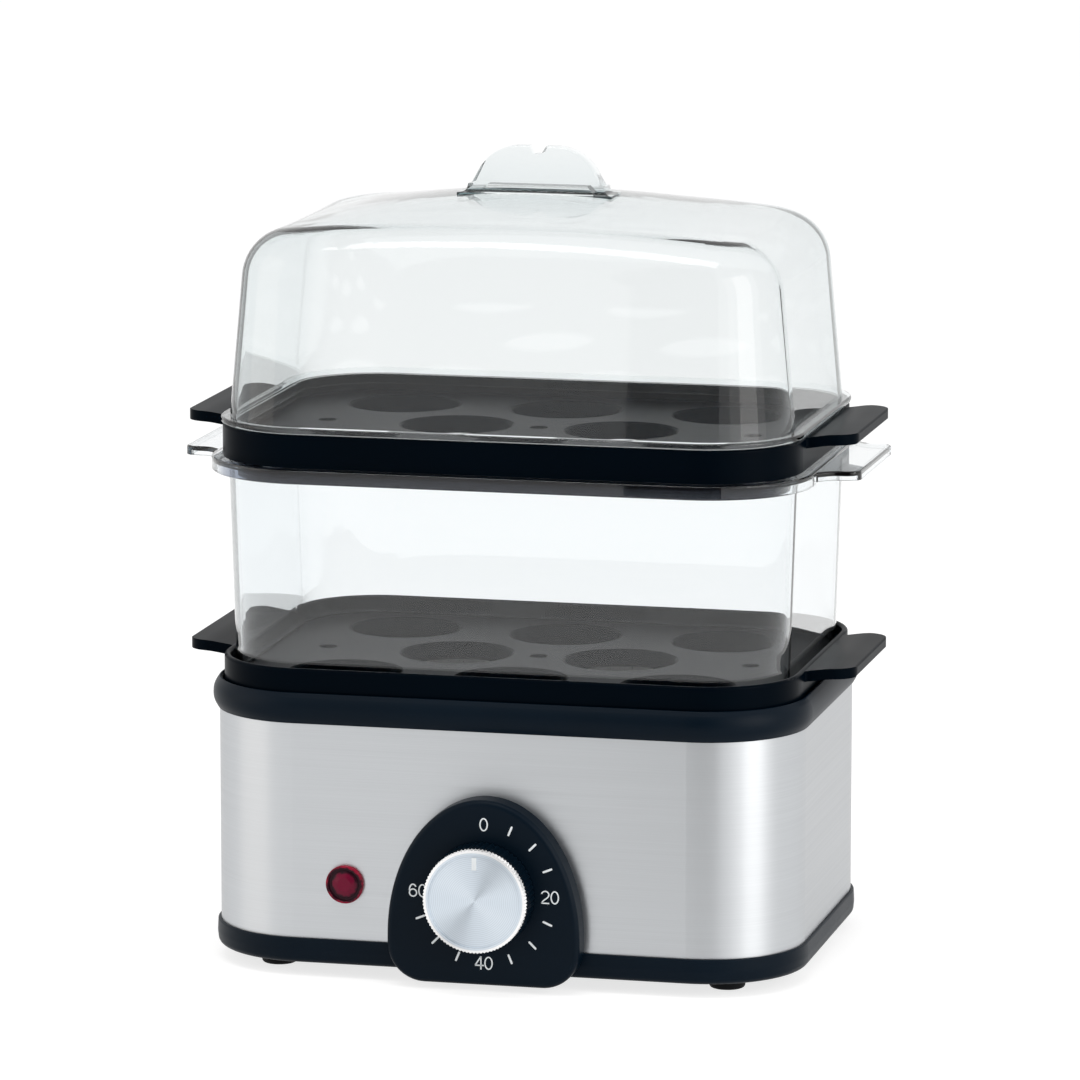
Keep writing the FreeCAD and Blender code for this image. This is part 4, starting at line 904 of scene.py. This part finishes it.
@dataclass(frozen=True)
class Softbox:
    """A large soft lamp that faces the object. Its level is its brightness, where 1 is white."""

    name: str
    azimuth: float
    elevation: float
    distance: float
    size: Pair
    level: float
    warmth: float = 0.0

    def light(self, target: Vector) -> None:
        """Put the lamp in the scene, where nothing clear shows it."""
        data = bpy.data.lights.new(self.name, "AREA")
        data.shape = "RECTANGLE"
        data.size, data.size_y = self.size
        data.energy = self.level * math.pi * self.size[0] * self.size[1]
        data.color = grey(1.0, self.warmth)[:3]
        lamp = place(self.name, data)
        face_target(lamp, target, outward(self.azimuth, self.elevation), self.distance)
        lamp.visible_transmission = False


@dataclass(frozen=True)
class DarkCard:
    """Dark card in front of the steel, which only reflections show."""

    azimuth: float = 9.5
    distance: float = 0.8
    size: Pair = (0.535, 1.38)
    level: float = 0.08
    hidden_from: tuple[str, ...] = ("camera", "diffuse", "transmission", "shadow",
                                    "volume_scatter")

    def stand(self) -> None:
        """Stand the card on the floor."""
        out = outward(self.azimuth, 0)
        foot = out * self.distance
        side = Vector((out.y, -out.x, 0)) * (self.size[0] / 2)
        top = Vector((0, 0, self.size[1]))
        graph = new_finish("card_dark")
        graph.surface(graph.add("Emission", Color=WHITE, Strength=self.level).outputs[0])
        card = flat_panel("dark_card", (foot - side, foot + side, foot + side + top,
                                        foot - side + top), graph)
        for ray in self.hidden_from:
            setattr(card, "visible_" + ray, False)


@dataclass(frozen=True)
class Studio:
    """White sweep, soft lamps and the camera."""

    azimuth: float = 13.57
    elevation: float = 10.04
    distance: float = 2.21567
    lens: float = 230.42
    sensor: float = 36.0
    far_clip: float = 50.0
    target: tuple[float, float, float] = (0.00035, 0.00615, 0.13095)
    floor_half: float = 6.0
    floor_matt: float = 0.8
    floor_glow: float = 0.75
    floor_pale: float = 0.4
    world_level: float = 0.65
    lamps: tuple[Softbox, ...] = (
        Softbox("right_strip", 66, 12, 1.6, (0.7, 1.6), 2.25, 0.02),
        Softbox("right_panel", 65, 12, 1.7, (1.6, 1.7), 0.9, 0.02),
        Softbox("left_panel", -66, 12, 1.6, (1.2, 1.6), 0.85, 0.1),
        Softbox("top_strip", -6, 72, 2.0, (1.3, 0.5), 5.0),
    )

    def place_camera(self) -> None:
        """Camera at the viewing angle, on the target."""
        data = bpy.data.cameras.new("camera")
        data.lens = self.lens
        data.sensor_width = self.sensor
        data.clip_end = self.far_clip
        camera = place("camera", data)
        face_target(camera, Vector(self.target), outward(self.azimuth, self.elevation),
                    self.distance)
        bpy.context.scene.camera = camera

    def build_floor(self) -> None:
        """Pale floor: matt for the light, and a glow over a pale matt where it is seen.

        The glow makes it look white, and the pale matt keeps the object's shadow.
        """
        graph = new_finish("floor_white")
        glow = graph.add("Emission", Color=WHITE, Strength=self.floor_glow)
        matt = graph.add("BsdfDiffuse", Color=grey(self.floor_matt))
        pale = graph.add("BsdfDiffuse", Color=grey(self.floor_pale))
        both = graph.add("AddShader")
        mix = graph.add("MixShader")
        graph.feed(glow.outputs[0], both.inputs[0])
        graph.feed(pale.outputs[0], both.inputs[1])
        graph.feed(self.shown(graph), mix.inputs[0])
        graph.feed(matt.outputs[0], mix.inputs[1])
        graph.feed(both.outputs[0], mix.inputs[2])
        graph.surface(mix.outputs[0])
        half = self.floor_half
        floor = flat_panel("floor", ((-half, -half, 0), (half, -half, 0), (half, half, 0),
                                     (-half, half, 0)), graph)

    def shown(self, graph: NodeGraph) -> bpy.types.NodeSocket:
        """1 for what is seen, also by reflection or refraction, and 0 for the light itself."""
        path = graph.add("LightPath")
        seen = path.outputs["Is Camera Ray"]
        for ray in ("Is Glossy Ray", "Is Transmission Ray"):
            seen = graph.math("MAXIMUM", seen, path.outputs[ray])
        return seen

    def build_world(self) -> None:
        """Even pale world that shows as white."""
        world = bpy.data.worlds.new("studio")
        bpy.context.scene.world = world
        graph = NodeGraph(world, "OutputWorld")
        level = graph.remap(self.shown(graph), self.world_level, 1.0, 0.0, 1.0)
        graph.surface(graph.add("Background", Color=WHITE, Strength=level).outputs[0])

    def build(self) -> None:
        """Set up the whole studio."""
        bpy.context.scene.view_settings.view_transform = "Standard"
        self.build_world()
        self.build_floor()
        self.place_camera()
        DarkCard().stand()
        for lamp in self.lamps:
            lamp.light(Vector(self.target))


def main() -> None:
    """Build the sub-assemblies in order and set up the studio."""
    logging.basicConfig(level=logging.INFO, format="%(name)s: %(message)s")
    paint = Paintbox()
    for part in (Housing(), Heater(), TimerPanel(), TimerKnob(), IndicatorLamp(), Trays(),
                 ClearCovers()):
        part.build(paint)
        LOG.info("finished %s", type(part).__name__)
    Studio().build()


if __name__ == "__main__":
    main()
